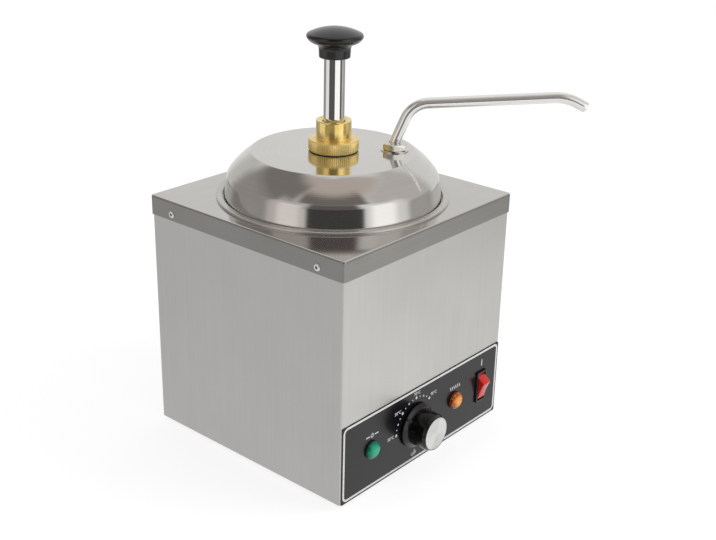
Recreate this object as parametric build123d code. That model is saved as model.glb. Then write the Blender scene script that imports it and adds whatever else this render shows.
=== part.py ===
from build123d import *
import os
from math import cos, pi, radians, sin, sqrt

# A square countertop warmer with a round inset pot, a lid with a push pump, and front controls.
# Millimetres. The table is z = 0, the origin is under the middle of the casing, controls face -Y.

# ------------------------------------------------------------------ driving dimensions
CASE_WIDTH = 220.0          # casing, square in plan
SHEET = 1.0                 # thickness of every steel sheet
CASE_CORNER = 1.5           # bend radius on the casing's upright edges
CASE_FLOOR = 5.0            # underside of the casing above the table
TOP_Z = 222.0               # upper face of the top plate
LIP_HEIGHT = 17.3           # turned-down edge of the top plate
LIP_PROUD = 1.3             # how far the lip stands out past the casing
LIP_CORNER = 3.0
RIVET_SPREAD = 84.0         # rivets stand this far each side of the middle of a lip
RIVET_Z = 210.4
FOOT_SPREAD = 82.0          # feet stand this far from both middle lines
DECK_Z = 69.0               # deck between the water well and the electrics

PANEL_HEIGHT = 71.5         # dark control overlay on the lower front
PANEL_WIDTH = 218.0
PANEL_T = 0.8
CONTROL_Z = 41.0            # middle line of the dial and the switch
LAMP_Z = 42.2               # the lamps sit a little higher
DIAL_X = -13.2
POWER_LAMP_X = -71.5
HEAT_LAMP_X = 43.3
LENS_R = 7.6
LENS_SEAT = 1.6             # underside of a lens, out from the casing
SWITCH_X = 83.0

WELL_R = 97.0               # water well, inside
WELL_FLOOR = 78.0
POT_R = 86.0                # inset pot, inside
POT_FLOOR = 93.0
RIM_R = 101.2               # rolled rim of the pot
SEAT_Z = 221.0              # ledge inside the rim, where the lid rests

LID_R = 94.5                # lid at its lower edge
LID_CREASE_R = 91.5
LID_CREASE_Z = 241.2
LID_BEND = 12.0             # bend radius between the shoulder and the wall
LID_FLAT_R = 70.4
LID_Z = 261.7               # flat top of the lid
SHOULDER_CROWN = 1.4        # how far the sloped shoulder swells

RING_R = 21.7               # knurled brass ring
RING_HEIGHT = 10.1
KNURLS = 72
COLLAR_R = 15.3             # plain brass collar
COLLAR_TOP = 288.6
PLUNGER_R = 9.0
BARREL_R = 14.0             # pump barrel, inside
BARREL_WALL = 1.5
STROKE = 50.0               # plunger travel
PISTON_Z = 191.0            # underside of the piston at rest
KNOB_Z = 341.6              # underside of the push knob at rest
VALVE_Z = 97.0              # underside of the foot valve
BALL_LIFT = 3.0

SPOUT_REACH = 52.6          # spout gland from the pump's axis
SPOUT_ANGLE = -46.0         # direction of the spout, from +X
SPOUT_R = 4.75              # spout and riser tubes
SPOUT_BORE_R = 3.75
SPOUT_LEAN = 22.4           # lean of the riser from upright, above its nut
SPOUT_RISE = 2.9            # slope of the long run, from level
SPOUT_DROP = 27.0           # slope of the cut end, below level

FIT = 0.08                  # radial running clearance
GAP = 0.3                   # ordinary clearance

HALF = CASE_WIDTH / 2
PANEL_HOLES = ((DIAL_X, CONTROL_Z, 5.5), (DIAL_X - 14, CONTROL_Z, 2.1), (DIAL_X + 14, CONTROL_Z, 2.1),
               (POWER_LAMP_X, LAMP_Z, 6.7), (HEAT_LAMP_X, LAMP_Z, 6.7))
PLATE_HALF = HALF + LIP_PROUD
PLATE_UNDER = TOP_Z - SHEET
LID_UNDER = LID_Z - SHEET
PANEL_TOP = CASE_FLOOR + PANEL_HEIGHT
FROM_BELOW = (Align.CENTER, Align.CENTER, Align.MIN)
CORNERS = [(sx, sy) for sx in (-1, 1) for sy in (-1, 1)]


# ------------------------------------------------------------------ small helpers
def rod(radius, low, high, x=0.0, y=0.0):
    """Upright cylinder between two heights."""
    return Pos(x, y, low) * Cylinder(radius, high - low, align=FROM_BELOW)


def tube(outer, inner, low, high, x=0.0, y=0.0):
    """Upright tube between two heights."""
    return rod(outer, low, high, x, y) - rod(inner, low - 1, high + 1, x, y)


def block(low, high):
    """Box between two opposite corners."""
    size = [b - a for a, b in zip(low, high)]
    middle = [(a + b) / 2 for a, b in zip(low, high)]
    return Pos(*middle) * Box(*size)


def turned(*points):
    """Solid turned about Z from (radius, height) or (radius, height, corner radius) points."""
    radii = [p[2] if len(p) > 2 else 0 for p in points]
    outline = FilletPolyline(*[(p[0], p[1]) for p in points], radius=radii, close=True)
    return revolve(Plane.XZ * make_face(outline), Axis.Z)


def hexagon(across_flats, low, high, x=0.0, y=0.0, turn=0.0):
    """Upright hexagonal bar between two heights."""
    flat = RegularPolygon(across_flats / 2, 6, major_radius=False)
    return Pos(x, y, low) * Rot(0, 0, turn) * extrude(flat, high - low)


def square_bar(width, corner, low, high):
    """Upright bar, square in plan, between two heights."""
    return Pos(0, 0, low) * extrude(RectangleRounded(width, width, corner), high - low)


def on_front(solid, x, z=CONTROL_Z):
    """Set a solid modelled along +Z on the casing's front, with its +Z facing out."""
    return Pos(x, -HALF, z) * Rot(90, 0, 0) * solid


def on_back(solid, x, z):
    """Set a solid modelled along +Z on the casing's back, with its +Z facing out."""
    return Pos(x, HALF, z) * Rot(-90, 0, 0) * solid


def at_spout(solid):
    """Move a solid from the pump's axis to the axis of the spout gland."""
    angle = radians(SPOUT_ANGLE)
    return Pos(SPOUT_REACH * cos(angle), SPOUT_REACH * sin(angle), 0) * solid


def along_spout(radius, length, z):
    """Level bar under the spout, midway between the pump's axis and the gland."""
    bar = Pos(SPOUT_REACH / 2, 0, z) * Rot(0, 90, 0) * Cylinder(radius, length)
    return Rot(0, 0, SPOUT_ANGLE) * bar


def swept(path, radius):
    """Round bar along a path."""
    start = Plane(origin=path @ 0, z_dir=path % 0)
    return sweep(start * Circle(radius), path=path)


def pan_screw(head_r, head_h, shank_r, length):
    """Screw with its head's seat at z = 0, head up and shank down, with a cross recess."""
    head = turned((0, 0), (head_r, 0), (head_r, head_h, head_h * 0.6), (0, head_h))
    arm = head_r * 1.1
    cross = block((-arm / 2, -0.4, head_h - 0.7), (arm / 2, 0.4, head_h + 1))
    return head + rod(shank_r, -length, 0) - cross - Rot(0, 0, 90) * cross


# ------------------------------------------------------------------ casing
def casing():
    """Front and both sides in one bent sheet, with flanges at the back and underneath."""
    back = HALF - SHEET
    wrap = block((-HALF, -HALF, CASE_FLOOR), (HALF, back, PLATE_UNDER))
    wrap = fillet(wrap.edges().filter_by(Axis.Z).group_by(Axis.Y)[0], CASE_CORNER)
    inner = HALF - SHEET
    room = block((-inner, -inner, CASE_FLOOR + SHEET), (inner, back - SHEET, PLATE_UNDER + 1))
    room = fillet(room.edges().filter_by(Axis.Z).group_by(Axis.Y)[0], CASE_CORNER - SHEET)
    flange = 12.0
    hole = HALF - SHEET - flange
    shell = wrap - room
    shell -= block((-hole, back - 2 * SHEET, CASE_FLOOR + flange), (hole, back + 1, PLATE_UNDER + 1))
    shell -= block((-hole, -hole, CASE_FLOOR - 1), (hole, hole, CASE_FLOOR + 2 * SHEET))
    for x, z, radius in PANEL_HOLES:
        shell -= on_front(Cylinder(radius, 6), x, z)
    shell -= on_front(Box(12.4, 29.4, 6), SWITCH_X)
    shell -= lip_holes()
    shell -= [rod(1.7, 0, 10, x, y) for x, y in base_screw_places()]
    return shell - [on_back(rod(1.4, -20, 5), x, z) for x, z in back_screw_places()]


def lip_rivet_places():
    """Each rivet in the lip: where it is and the turn about Z that faces it outwards from +X."""
    spread = (-RIVET_SPREAD, RIVET_SPREAD)
    sides = [(sx * HALF, y, 0 if sx > 0 else 180) for sx in (-1, 1) for y in spread]
    return sides + [(x, HALF, 90) for x in spread]


def facing_out(solid, x, y, turn):
    """Set a solid modelled along +Z at a rivet's place, with its +Z facing out of the casing."""
    return Pos(x, y, RIVET_Z) * Rot(0, 0, turn) * Rot(0, 90, 0) * solid


def lip_holes():
    return [facing_out(Cylinder(1.65, 8), *place) for place in lip_rivet_places()]


def lip_rivets():
    """Blind rivets: domed head with the hole of the pulled stem, and a tail inside the casing."""
    proud = LIP_PROUD
    head = turned((0, proud), (3.3, proud), (3.3, proud + 0.5, 0.3), (1.8, proud + 1.2, 0.6),
                  (0, proud + 1.2))
    rivet = head + rod(1.6, -2.4, proud) + turned((0, -3.2), (2.4, -3.2, 0.6), (2.4, -1.1), (0, -1.1))
    rivet -= rod(0.95, proud + 0.5, proud + 2)
    return [facing_out(rivet, *place) for place in lip_rivet_places()]


def top_plate():
    """Shallow pan turned upside down, with the round opening for the pot."""
    lip_low = TOP_Z - LIP_HEIGHT
    pan = square_bar(2 * PLATE_HALF, LIP_CORNER, lip_low, TOP_Z)
    pan = fillet(pan.faces().sort_by(Axis.Z)[-1].edges(), 1.5)
    room = square_bar(2 * (PLATE_HALF - SHEET), LIP_CORNER - SHEET, lip_low - 1, PLATE_UNDER)
    room = fillet(room.faces().sort_by(Axis.Z)[-1].edges(), 0.2)
    plate = pan - room - rod(WELL_R - 0.6, PLATE_UNDER - 1, TOP_Z + 1)
    return plate - lip_holes()


def back_screw_places():
    side = HALF - 7.0
    return [(sx * side, z) for sx in (-1, 1) for z in (14.0, 84.0, 140.0, 196.0)]


def back_panel():
    """Flat panel with two rows of cooling slots low down and the hole for the cable gland."""
    side = HALF - 0.8
    panel = block((-side, HALF - SHEET, CASE_FLOOR), (side, HALF, PLATE_UNDER))
    slot = SlotOverall(22, 3, rotation=90)
    cutter = Rot(-90, 0, 0) * extrude(slot, 6, both=True)
    for column in range(9):
        panel -= Pos(-76 + 12 * column, HALF, 36) * cutter
    panel -= on_back(Cylinder(8.1, 8), GLAND_X, GLAND_Z)
    panel -= [on_back(rod(1.8, -6, 5), x, z) for x, z in back_screw_places()]
    return panel - lip_holes()


def back_screws():
    screw = pan_screw(3.2, 2.0, 1.6, 1.0) + rod(1.35, -8, -1)
    return [on_back(screw, x, z) for x, z in back_screw_places()]


def base_screw_places():
    edge, along = HALF - 7.0, 50.0
    sides = [(sx * edge, sy * along) for sx, sy in CORNERS]
    return sides + [(sx * along, sy * edge - (1.5 if sy > 0 else 0)) for sx, sy in CORNERS]


def base_plate():
    """Bottom sheet on the casing's inner flange, with slots that let cool air in."""
    low = CASE_FLOOR + SHEET
    plate = block((-HALF + 3, -HALF + 3, low), (HALF - 3, HALF - 4, low + SHEET))
    slot = extrude(SlotOverall(30, 4), 6, both=True)
    for row in range(6):
        for x in (-40, 0, 40):
            plate -= Pos(x, -40 + 10 * row, low) * slot
    plate -= [rod(1.65, 0, 10, x, y) for x, y in base_screw_places()]
    plate -= [rod(2.6, 0, 10, sx * FOOT_SPREAD, sy * FOOT_SPREAD) for sx, sy in CORNERS]
    return plate - rod(2.6, 0, 10, *EARTH_PLACE)


def base_screws():
    screw = Pos(0, 0, CASE_FLOOR) * Rot(180, 0, 0) * pan_screw(3.2, 1.9, 1.6, 8.0)
    return [Pos(x, y, 0) * screw for x, y in base_screw_places()]


def rubber_feet():
    top = CASE_FLOOR + SHEET
    foot = turned((0, 0), (8.0, 0, 0.5), (9.0, top), (0, top)) - rod(2.55, 3.0, top + 1)
    return [Pos(sx * FOOT_SPREAD, sy * FOOT_SPREAD, 0) * foot for sx, sy in CORNERS]


def foot_bolts():
    """Studs moulded into the feet, with their nuts above the base plate."""
    nut_low = CASE_FLOOR + 2 * SHEET
    stud = rod(2.5, 3.0, 14.0)
    nut = hexagon(8.0, nut_low, nut_low + 4.0) - rod(2.55, nut_low - 1, nut_low + 5)
    bolts = []
    for sx, sy in CORNERS:
        place = Pos(sx * FOOT_SPREAD, sy * FOOT_SPREAD, 0)
        bolts += [place * stud, place * nut]
    return bolts


# ------------------------------------------------------------------ water well and heater
HEATER_R = 60.0             # mean radius of the heating loop
HEATER_TUBE_R = 3.25
HEATER_Z = 84.5
HEATER_GAP = 28.0           # half of the loop's open angle, at the back
HEATER_BEND = 5.5           # bend from the loop down into each leg


def heater_leg_places():
    gap = radians(HEATER_GAP)
    x = HEATER_R * sin(gap) - HEATER_BEND * cos(gap)
    y = HEATER_R * cos(gap) + HEATER_BEND * sin(gap)
    return [(-x, y), (x, y)]


def water_well():
    """Round drawn well, welded under the top plate by its flange."""
    out, low = WELL_R + SHEET, WELL_FLOOR - SHEET
    well = turned((0, low), (out, low, 10), (out, PLATE_UNDER - SHEET), (104, PLATE_UNDER - SHEET),
                  (104, PLATE_UNDER), (WELL_R, PLATE_UNDER), (WELL_R, WELL_FLOOR, 9), (0, WELL_FLOOR))
    return well - [rod(5.2, low - 1, WELL_FLOOR + 1, x, y) for x, y in heater_leg_places()]


def heating_element():
    """Tubular loop under the pot, its two ends turned down through the well's floor."""
    (left_x, leg_y), (right_x, _) = heater_leg_places()
    tail, turn_z = 62.0, HEATER_Z - HEATER_BEND
    gap = radians(HEATER_GAP)
    drop = HEATER_BEND * (1 - 1 / sqrt(2))
    back = HEATER_BEND / sqrt(2)
    end_x, end_y = HEATER_R * sin(gap), HEATER_R * cos(gap)
    middle_x, middle_y = end_x - back * cos(gap), end_y + back * sin(gap)
    ends = [(side * end_x, end_y, HEATER_Z) for side in (-1, 1)]
    middles = [(side * middle_x, middle_y, HEATER_Z - drop) for side in (-1, 1)]
    path = Wire([
        Line((left_x, leg_y, tail), (left_x, leg_y, turn_z)).edge(),
        ThreePointArc((left_x, leg_y, turn_z), middles[0], ends[0]).edge(),
        ThreePointArc(ends[0], (0, -HEATER_R, HEATER_Z), ends[1]).edge(),
        ThreePointArc(ends[1], middles[1], (right_x, leg_y, turn_z)).edge(),
        Line((right_x, leg_y, turn_z), (right_x, leg_y, tail)).edge(),
    ])
    loop = swept(path, HEATER_TUBE_R)
    for x, y in heater_leg_places():
        loop += rod(1.5, tail - 7, tail + 0.5, x, y)
    return loop


def heater_glands():
    """Brass sleeves that seal the heater's legs through the well's floor, with their nuts."""
    sleeve = turned((HEATER_TUBE_R + 0.05, 71), (5.0, 71), (5.0, WELL_FLOOR), (8.0, WELL_FLOOR),
                    (8.0, WELL_FLOOR + 1.2), (HEATER_TUBE_R + 0.05, WELL_FLOOR + 1.2))
    nut = hexagon(14.0, 72.5, WELL_FLOOR - SHEET) - rod(5.05, 70, 80)
    pieces = []
    for x, y in heater_leg_places():
        pieces += [Pos(x, y, 0) * sleeve, Pos(x, y, 0) * nut]
    return pieces


def insulation_wrap():
    return tube(106.5, WELL_R + SHEET + 0.4, 80, PLATE_UNDER - 3)


def insulation_pad():
    """Mineral wool pad under the well, cut round the heater's ends, the bulb and the cut-out."""
    pad = rod(96, DECK_Z + SHEET + 0.2, WELL_FLOOR - SHEET - 0.3) & rod(88, 0, 100)
    pad -= [rod(10, 60, 80, x, y) for x, y in heater_leg_places()]
    pad -= rod(13.5, 60, 80)
    pad -= block((-24, -9, 60), (24, 9, 80))
    return pad - block((-58, 25, 60), (46, 35, 80))


def deck_plate():
    """Sheet across the casing between the well and the electrics, on turned-down flanges."""
    wall = HALF - SHEET
    deck = block((-wall, -wall, DECK_Z - 8), (wall, wall - SHEET, DECK_Z + SHEET))
    deck = fillet(deck.edges().filter_by(Axis.Z).group_by(Axis.Y)[0], CASE_CORNER - SHEET)
    deck -= block((-wall + SHEET, -wall + SHEET, 0), (wall - SHEET, wall - 2 * SHEET, DECK_Z))
    deck -= [rod(8.5, 60, 80, x, y) for x, y in heater_leg_places()]
    deck -= rod(13.5, 60, 80)
    return deck - rod(3.0, 60, 80, *CAPILLARY_PLACE)


# ------------------------------------------------------------------ electrics under the deck
GLAND_X, GLAND_Z = 70.0, 30.0
EARTH_PLACE = (-60.0, 62.0)
TERMINAL_LOW, TERMINAL_HIGH = (34.0, 46.0, 7.0), (84.0, 66.0, 25.0)
CAPILLARY_PLACE = (-53.0, 30.0)
BULB_Z = 73.6


def thermostat_body():
    """Capillary thermostat: a box behind the panel, with the bush that carries its spindle."""
    case = block((-20, -17, -SHEET - 30), (20, 17, -SHEET))
    case = fillet(case.edges().filter_by(Axis.Z), 3)
    bush = turned((3 + FIT, -14), (5.2, -14), (5.2, PANEL_T), (3 + FIT, PANEL_T))
    case -= rod(5.2, -14, 0)
    case -= rod(3 + FIT, -20, 0)
    case -= [rod(1.95, -12, 0, x) for x in (-14, 14)]
    return on_front(case + bush, DIAL_X)


def thermostat_screws():
    """Two panel screws, hidden under the knob's skirt."""
    screw = Pos(0, 0, PANEL_T) * pan_screw(3.4, 1.5, 1.9, 8)
    return [on_front(Pos(x, 0, 0) * screw, DIAL_X) for x in (-14, 14)]


def thermostat_bulb():
    """Liquid-filled bulb against the well's floor, with its thin tube back to the thermostat."""
    bulb_x, bulb_y = 44.0, CAPILLARY_PLACE[1]
    bulb = turned((0, 0), (3.0, 0, 1.5), (3.0, 84, 1.5), (0, 84))
    bulb = Pos(bulb_x, bulb_y, BULB_Z) * Rot(0, -90, 0) * bulb
    start = bulb_x - 83.5
    route = FilletPolyline(
        (start, bulb_y, BULB_Z), (CAPILLARY_PLACE[0], bulb_y, BULB_Z), (CAPILLARY_PLACE[0], bulb_y, 52),
        (CAPILLARY_PLACE[0], -40, 52), (DIAL_X, -40, 46), (DIAL_X, -HALF + SHEET + 30, 46),
        radius=[5, 8, 14, 14])
    return bulb + swept(route, 0.9)


def bulb_clip():
    """Spring strap that holds the bulb up against the well."""
    y = CAPILLARY_PLACE[1]
    strap = Pos(0, y, BULB_Z) * Rot(0, 90, 0) * (Cylinder(3.5, 10) - Cylinder(3.05, 12))
    return strap & block((-6, y - 5, 66), (6, y + 5, WELL_FLOOR - SHEET))


def thermal_cutout():
    """Disc cut-out against the well's floor, with its ears and two blade terminals."""
    top = WELL_FLOOR - SHEET
    body = turned((0, 63), (11.5, 63, 1.0), (11.5, top - 4), (8.0, top - 4), (8.0, top), (0, top))
    ears = block((-21, -6, top - 1), (21, 6, top)) - [rod(1.6, 70, 80, x) for x in (-17, 17)]
    blades = block((-6, -3.2, 55), (-5.2, 3.2, 63)) + block((5.2, -3.2, 55), (6, 3.2, 63))
    return body + ears + blades


def cutout_nuts():
    """Weld studs under the well with the nuts that hold the cut-out."""
    top = WELL_FLOOR - SHEET
    stud = rod(1.5, top - 5.5, top)
    nut = hexagon(5.5, top - 4.0, top - 1) - rod(1.55, 70, 80)
    return [Pos(x, 0, 0) * piece for x in (-17, 17) for piece in (stud, nut)]


def terminal_block():
    """Three-way ceramic block with its clamp screws let into the top."""
    body = block(TERMINAL_LOW, TERMINAL_HIGH)
    body = fillet(body.edges().filter_by(Axis.Z), 2)
    middle_y = (TERMINAL_LOW[1] + TERMINAL_HIGH[1]) / 2
    for pole in range(3):
        x = TERMINAL_LOW[0] + 10 + 15 * pole
        body -= Pos(x, middle_y, 15) * Rot(90, 0, 0) * Cylinder(2.6, 40)
        body -= rod(2.6, 18, 30, x, middle_y)
    return body


def earth_stud():
    """Protective earth stud in the base plate with a nut each side."""
    nut_low = CASE_FLOOR + 2 * SHEET
    stud = rod(2.5, CASE_FLOOR - 2, 22, *EARTH_PLACE)
    upper = hexagon(8, nut_low, nut_low + 4, *EARTH_PLACE) - rod(2.55, 0, 30, *EARTH_PLACE)
    lower = hexagon(8, CASE_FLOOR - 3, CASE_FLOOR + SHEET, *EARTH_PLACE) - rod(2.55, 0, 30, *EARTH_PLACE)
    return [stud, upper, lower]


def cable_gland():
    """Moulded gland through the back panel, its clamping cap, and the nut inside."""
    body = turned((4.5, -12), (7.8, -12), (7.8, 0), (11.0, 0), (11.0, 5, 0.8), (8.0, 5), (8.0, 8), (4.5, 8))
    cap = turned((8.2, 5.2), (11.0, 5.2, 0.6), (10.2, 15, 2.0), (5.2, 15, 1.0), (5.2, 8.4), (8.2, 8.4))
    nut = hexagon(22, -SHEET - 5, -SHEET) - rod(7.9, -20, 10)
    return [on_back(piece, GLAND_X, GLAND_Z) for piece in (body, cap, nut)]


def wiring():
    """Insulated wires between the terminal block, switch, thermostat, cut-out, heater and lamps."""
    wire_r = 1.1
    (left_x, leg_y), (right_x, _) = heater_leg_places()
    inside = -HALF + SHEET
    routes = [
        # switch to the live terminal, then switch to thermostat
        [(SWITCH_X - 2, inside + 25.2, 33), (SWITCH_X - 2, inside + 45, 33), (SWITCH_X - 2, 20, 16),
         (74, 20, 15), (74, 45.5, 15)],
        [(SWITCH_X - 3, inside + 25.2, 48), (SWITCH_X - 3, inside + 38, 48), (30, inside + 50, 50),
         (2, inside + 45, 36), (2, inside + 30.5, 36)],
        # thermostat through the cut-out to the heater, and back to the neutral terminal
        [(-4, inside + 30.5, 50), (-4, inside + 55, 50), (-5.6, -20, 50), (-5.6, 0, 46), (-5.6, 0, 54.5)],
        [(5.6, 0, 54.5), (5.6, 0, 44), (5.6, 24, 40), (right_x, leg_y, 40), (right_x, leg_y, 54.5)],
        [(left_x, leg_y, 54.5), (left_x, leg_y, 38), (10, 36, 30), (44, 34, 15), (44, 45.5, 15)],
        # both lamps, and the earth
        [(POWER_LAMP_X, inside + 22, CONTROL_Z), (POWER_LAMP_X, inside + 42, CONTROL_Z),
         (-40, inside + 62, 16), (20, inside + 66, 14), (59, 20, 15), (59, 45.5, 15)],
        [(HEAT_LAMP_X, inside + 22, CONTROL_Z), (HEAT_LAMP_X, inside + 36, CONTROL_Z),
         (10, inside + 44, 30), (-24, inside + 48, 30), (-24, inside + 30.5, 30)],
        [EARTH_PLACE + (22.1,), EARTH_PLACE + (32.0,), (-20, 84, 34), (20, 90, 26), (52, 84, 15),
         (59, 66.5, 15)],
    ]
    wires = []
    for points in routes:
        bends = len(points) - 2
        wires.append(swept(FilletPolyline(*points, radius=[4.0] * bends), wire_r))
    return wires


# ------------------------------------------------------------------ control panel
def control_overlay():
    """Dark sheet over the lower front, cut for the controls."""
    middle = CASE_FLOOR + PANEL_HEIGHT / 2
    sheet = extrude(RectangleRounded(PANEL_WIDTH, PANEL_HEIGHT, 1.0), PANEL_T)
    cuts = [rod(radius, -1, 2, x, z - middle) for x, z, radius in PANEL_HOLES]
    cuts.append(Pos(SWITCH_X, CONTROL_Z - middle, 0) * Box(12.4, 29.4, 6))
    return on_front(sheet - cuts, 0, middle)


def lamp_housings():
    """Black housings of both pilot lamps: a thin flange in front and a barrel behind."""
    barrel = turned((0, -22), (6.4, -22, 0.6), (6.4, PANEL_T), (LENS_R + 0.6, PANEL_T),
                    (LENS_R + 0.6, LENS_SEAT, 0.3), (5.4, LENS_SEAT), (5.4, -16), (0, -16))
    return [on_front(barrel, x, LAMP_Z) for x in (POWER_LAMP_X, HEAT_LAMP_X)]


def lamp_clips():
    """Push-on star washers that hold the lamps behind the sheet."""
    clip = tube(10.0, 6.45, -SHEET - 0.8, -SHEET)
    for step in range(6):
        clip -= Rot(0, 0, 60 * step) * block((6.0, -0.6, -3), (8.5, 0.6, 0))
    return [on_front(clip, x, LAMP_Z) for x in (POWER_LAMP_X, HEAT_LAMP_X)]


def power_lamp_lens():
    """Round domed lens with a spigot into its housing."""
    dome = turned((0, -6), (5.3, -6), (5.3, LENS_SEAT), (LENS_R, LENS_SEAT), (LENS_R, 3.4, 1.2),
                  (4.6, 5.9, 3.0), (0, 5.9))
    return on_front(dome, POWER_LAMP_X, LAMP_Z)


def heating_lamp_lens():
    """Faceted lens: an eight-sided prism that narrows to a small flat."""
    shoulder, top = 4.0, 6.9
    body = rod(LENS_R, LENS_SEAT, 3.0) + Pos(0, 0, 3.0) * extrude(RegularPolygon(LENS_R, 8), shoulder - 3.0)
    crown = loft([RegularPolygon(LENS_R, 8), Pos(0, 0, top - shoulder) * RegularPolygon(LENS_R / 2, 8)])
    crown = Pos(0, 0, shoulder) * crown
    return on_front(body + crown + rod(5.3, -6, LENS_SEAT + 0.1), HEAT_LAMP_X, LAMP_Z)


# The rocker pivots behind the panel and rests with its upper end pressed in.
ROCKER_PIVOT = -4.0         # along the outward direction, from the casing's front
ROCKER_TILT = 12.0
ROCKER_WIDTH = 10.0


def switch_housing():
    """Black switch body with a thin bezel and sockets for the rocker's pins."""
    bezel = Pos(0, 0, PANEL_T) * extrude(RectangleRounded(14, 31, 1.2), 2.0)
    bezel = fillet(bezel.faces().sort_by(Axis.Z)[-1].edges(), 0.6)
    body = bezel + block((-6.1, -14.6, -20), (6.1, 14.6, PANEL_T + 0.5))
    window = block((-5.3, -13.7, -14), (5.3, 13.7, 4))
    socket = Pos(0, 0, ROCKER_PIVOT) * Rot(0, 90, 0) * Cylinder(1.2 + FIT, 11.8)
    blades = [block((x - 0.4, y - 3, -26), (x + 0.4, y + 3, -19.5)) for x, y in ((-2, -8), (-3, 7), (3, 0))]
    return on_front(body - window - socket + blades, SWITCH_X)


def rocker():
    """Rocker with a rounded ridge above its middle, hollow below it, and a pin at each side."""
    corners = [(3.5, 9.1), (12.0, 2.0), (11.0, -3.0), (4.0, -8.5), (-4.0, -8.5), (-11.0, -3.0), (-12.5, 0.6)]
    edges = [ThreePointArc((-12.5, 0.6), (-5.5, 4.2), (1.5, 9.0)),
             ThreePointArc((1.5, 9.0), (2.5, 9.5), (3.5, 9.1))]
    edges += [Line(start, end) for start, end in zip(corners, corners[1:])]
    outline = make_face(Wire([edge.edge() for edge in edges]))
    roof = Rot(0, 90, 0) * Rot(0, 0, 90) * extrude(outline, ROCKER_WIDTH / 2, both=True)
    pins = Pos(0, 0, ROCKER_PIVOT) * Rot(0, 90, 0) * Cylinder(1.2, 11.6)
    pivot = Pos(0, 0, ROCKER_PIVOT)
    return on_front(pivot * Rot(-ROCKER_TILT, 0, 0) * pivot.inverse() * (roof + pins), SWITCH_X)


# ------------------------------------------------------------------ thermostat knob
KNOB_FACE = 23.8            # front of the knob, from the casing's front
POINTER_ANGLE = 142.0       # where the pointer stands, from the right, anticlockwise


def thermostat_knob():
    """Skirted knob in one moulding, with a pointer rib on the skirt."""
    body = turned((0, 3.4), (18.7, 3.4), (18.7, 1.6), (20.4, 1.6, 0.3), (20.4, 3.4, 0.6), (16.7, 5.6, 1.5),
                  (16.2, KNOB_FACE - 3.0, 0.4), (15.0, KNOB_FACE, 0.15), (14.7, KNOB_FACE),
                  (14.7, KNOB_FACE - 0.9), (0, KNOB_FACE - 0.9))
    body -= rod(3.03, 0, KNOB_FACE - 4.2)
    rib = turned((14.0, 3.6), (20.1, 3.6), (20.1, 4.4), (16.4, 7.2), (14.0, 7.2))
    rib &= block((0, -1.1, 0), (21, 1.1, 10))
    return on_front(body + Rot(0, 0, POINTER_ANGLE) * rib, DIAL_X)


def knob_insert():
    """Spun aluminium disc let into the knob's face."""
    face = KNOB_FACE - 0.1
    return on_front(turned((0, face - 0.8), (14.6, face - 0.8), (14.6, face, 0.2), (0, face)), DIAL_X)


def thermostat_spindle():
    """Spindle with a flat, turned by the knob."""
    spindle = rod(3.0, -18, 19.5) - block((1.7, -4, 8), (4, 4, 20))
    return on_front(spindle, DIAL_X)


# ------------------------------------------------------------------ inset pot
def inset_pot():
    """Drawn pot with a ledge for the lid and a rolled rim that hangs on the top plate."""
    out, low = POT_R + SHEET, POT_FLOOR - SHEET
    return turned((0, low), (out, low, 13), (out, SEAT_Z - SHEET), (96.0, SEAT_Z - SHEET), (96.0, TOP_Z),
                  (RIM_R, TOP_Z), (RIM_R, TOP_Z + 2.1, 1.6), (95.0, TOP_Z + 2.1, 1.4), (95.0, SEAT_Z),
                  (POT_R, SEAT_Z, 0.5), (POT_R, POT_FLOOR, 12), (0, POT_FLOOR))


# ------------------------------------------------------------------ lid and pump
def lid():
    """Spun lid: flat centre, slightly swollen shoulder and a drafted wall."""
    def profile(inset, foot):
        flat = (LID_FLAT_R - inset * 0.4, LID_Z - inset)
        crease = (LID_CREASE_R - inset, LID_CREASE_Z - inset * 0.4)
        middle = tuple((a + b) / 2 + SHOULDER_CROWN * 0.7 for a, b in zip(flat, crease))
        hem, base = (LID_R - inset, SEAT_Z), (LID_R - inset, foot)
        edges = [Line((0, foot), (0, flat[1])), Line((0, flat[1]), flat),
                 ThreePointArc(flat, middle, crease), Line(crease, hem), Line(hem, base),
                 Line(base, (0, foot))]
        return revolve(Plane.XZ * make_face(Wire([edge.edge() for edge in edges])), Axis.Z)

    shell = profile(0.0, SEAT_Z - 1) - profile(SHEET, SEAT_Z - 2)
    shell &= rod(120, SEAT_Z, 300)
    for radius, bend in ((LID_CREASE_R, LID_BEND), (LID_CREASE_R - SHEET, LID_BEND - SHEET)):
        creases = shell.edges().filter_by(GeomType.CIRCLE)
        shell = fillet([edge for edge in creases if abs(edge.radius - radius) < 0.01], bend)
    shell -= rod(COLLAR_R + 0.2, LID_UNDER - 1, LID_Z + 1)
    return shell - at_spout(rod(6.5, LID_UNDER - 1, LID_Z + 1))


def ring_gasket():
    return tube(RING_R - 0.6, COLLAR_R + 0.1, LID_Z, LID_Z + 0.6)


def pump_ring():
    """Brass ring with a straight knurl, screwed down on the collar."""
    low = LID_Z + 0.6
    points = []
    for step in range(2 * KNURLS):
        radius = RING_R if step % 2 == 0 else RING_R - 0.7
        points.append((radius * cos(pi * step / KNURLS), radius * sin(pi * step / KNURLS)))
    knurl = Pos(0, 0, low) * extrude(make_face(Polyline(*points, close=True)), RING_HEIGHT)
    high = low + RING_HEIGHT
    limit = turned((COLLAR_R + 0.1, low), (RING_R - 0.8, low), (RING_R, low + 0.8), (RING_R, high - 1.0),
                   (RING_R - 1.0, high), (COLLAR_R + 0.1, high))
    return knurl & limit


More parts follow.
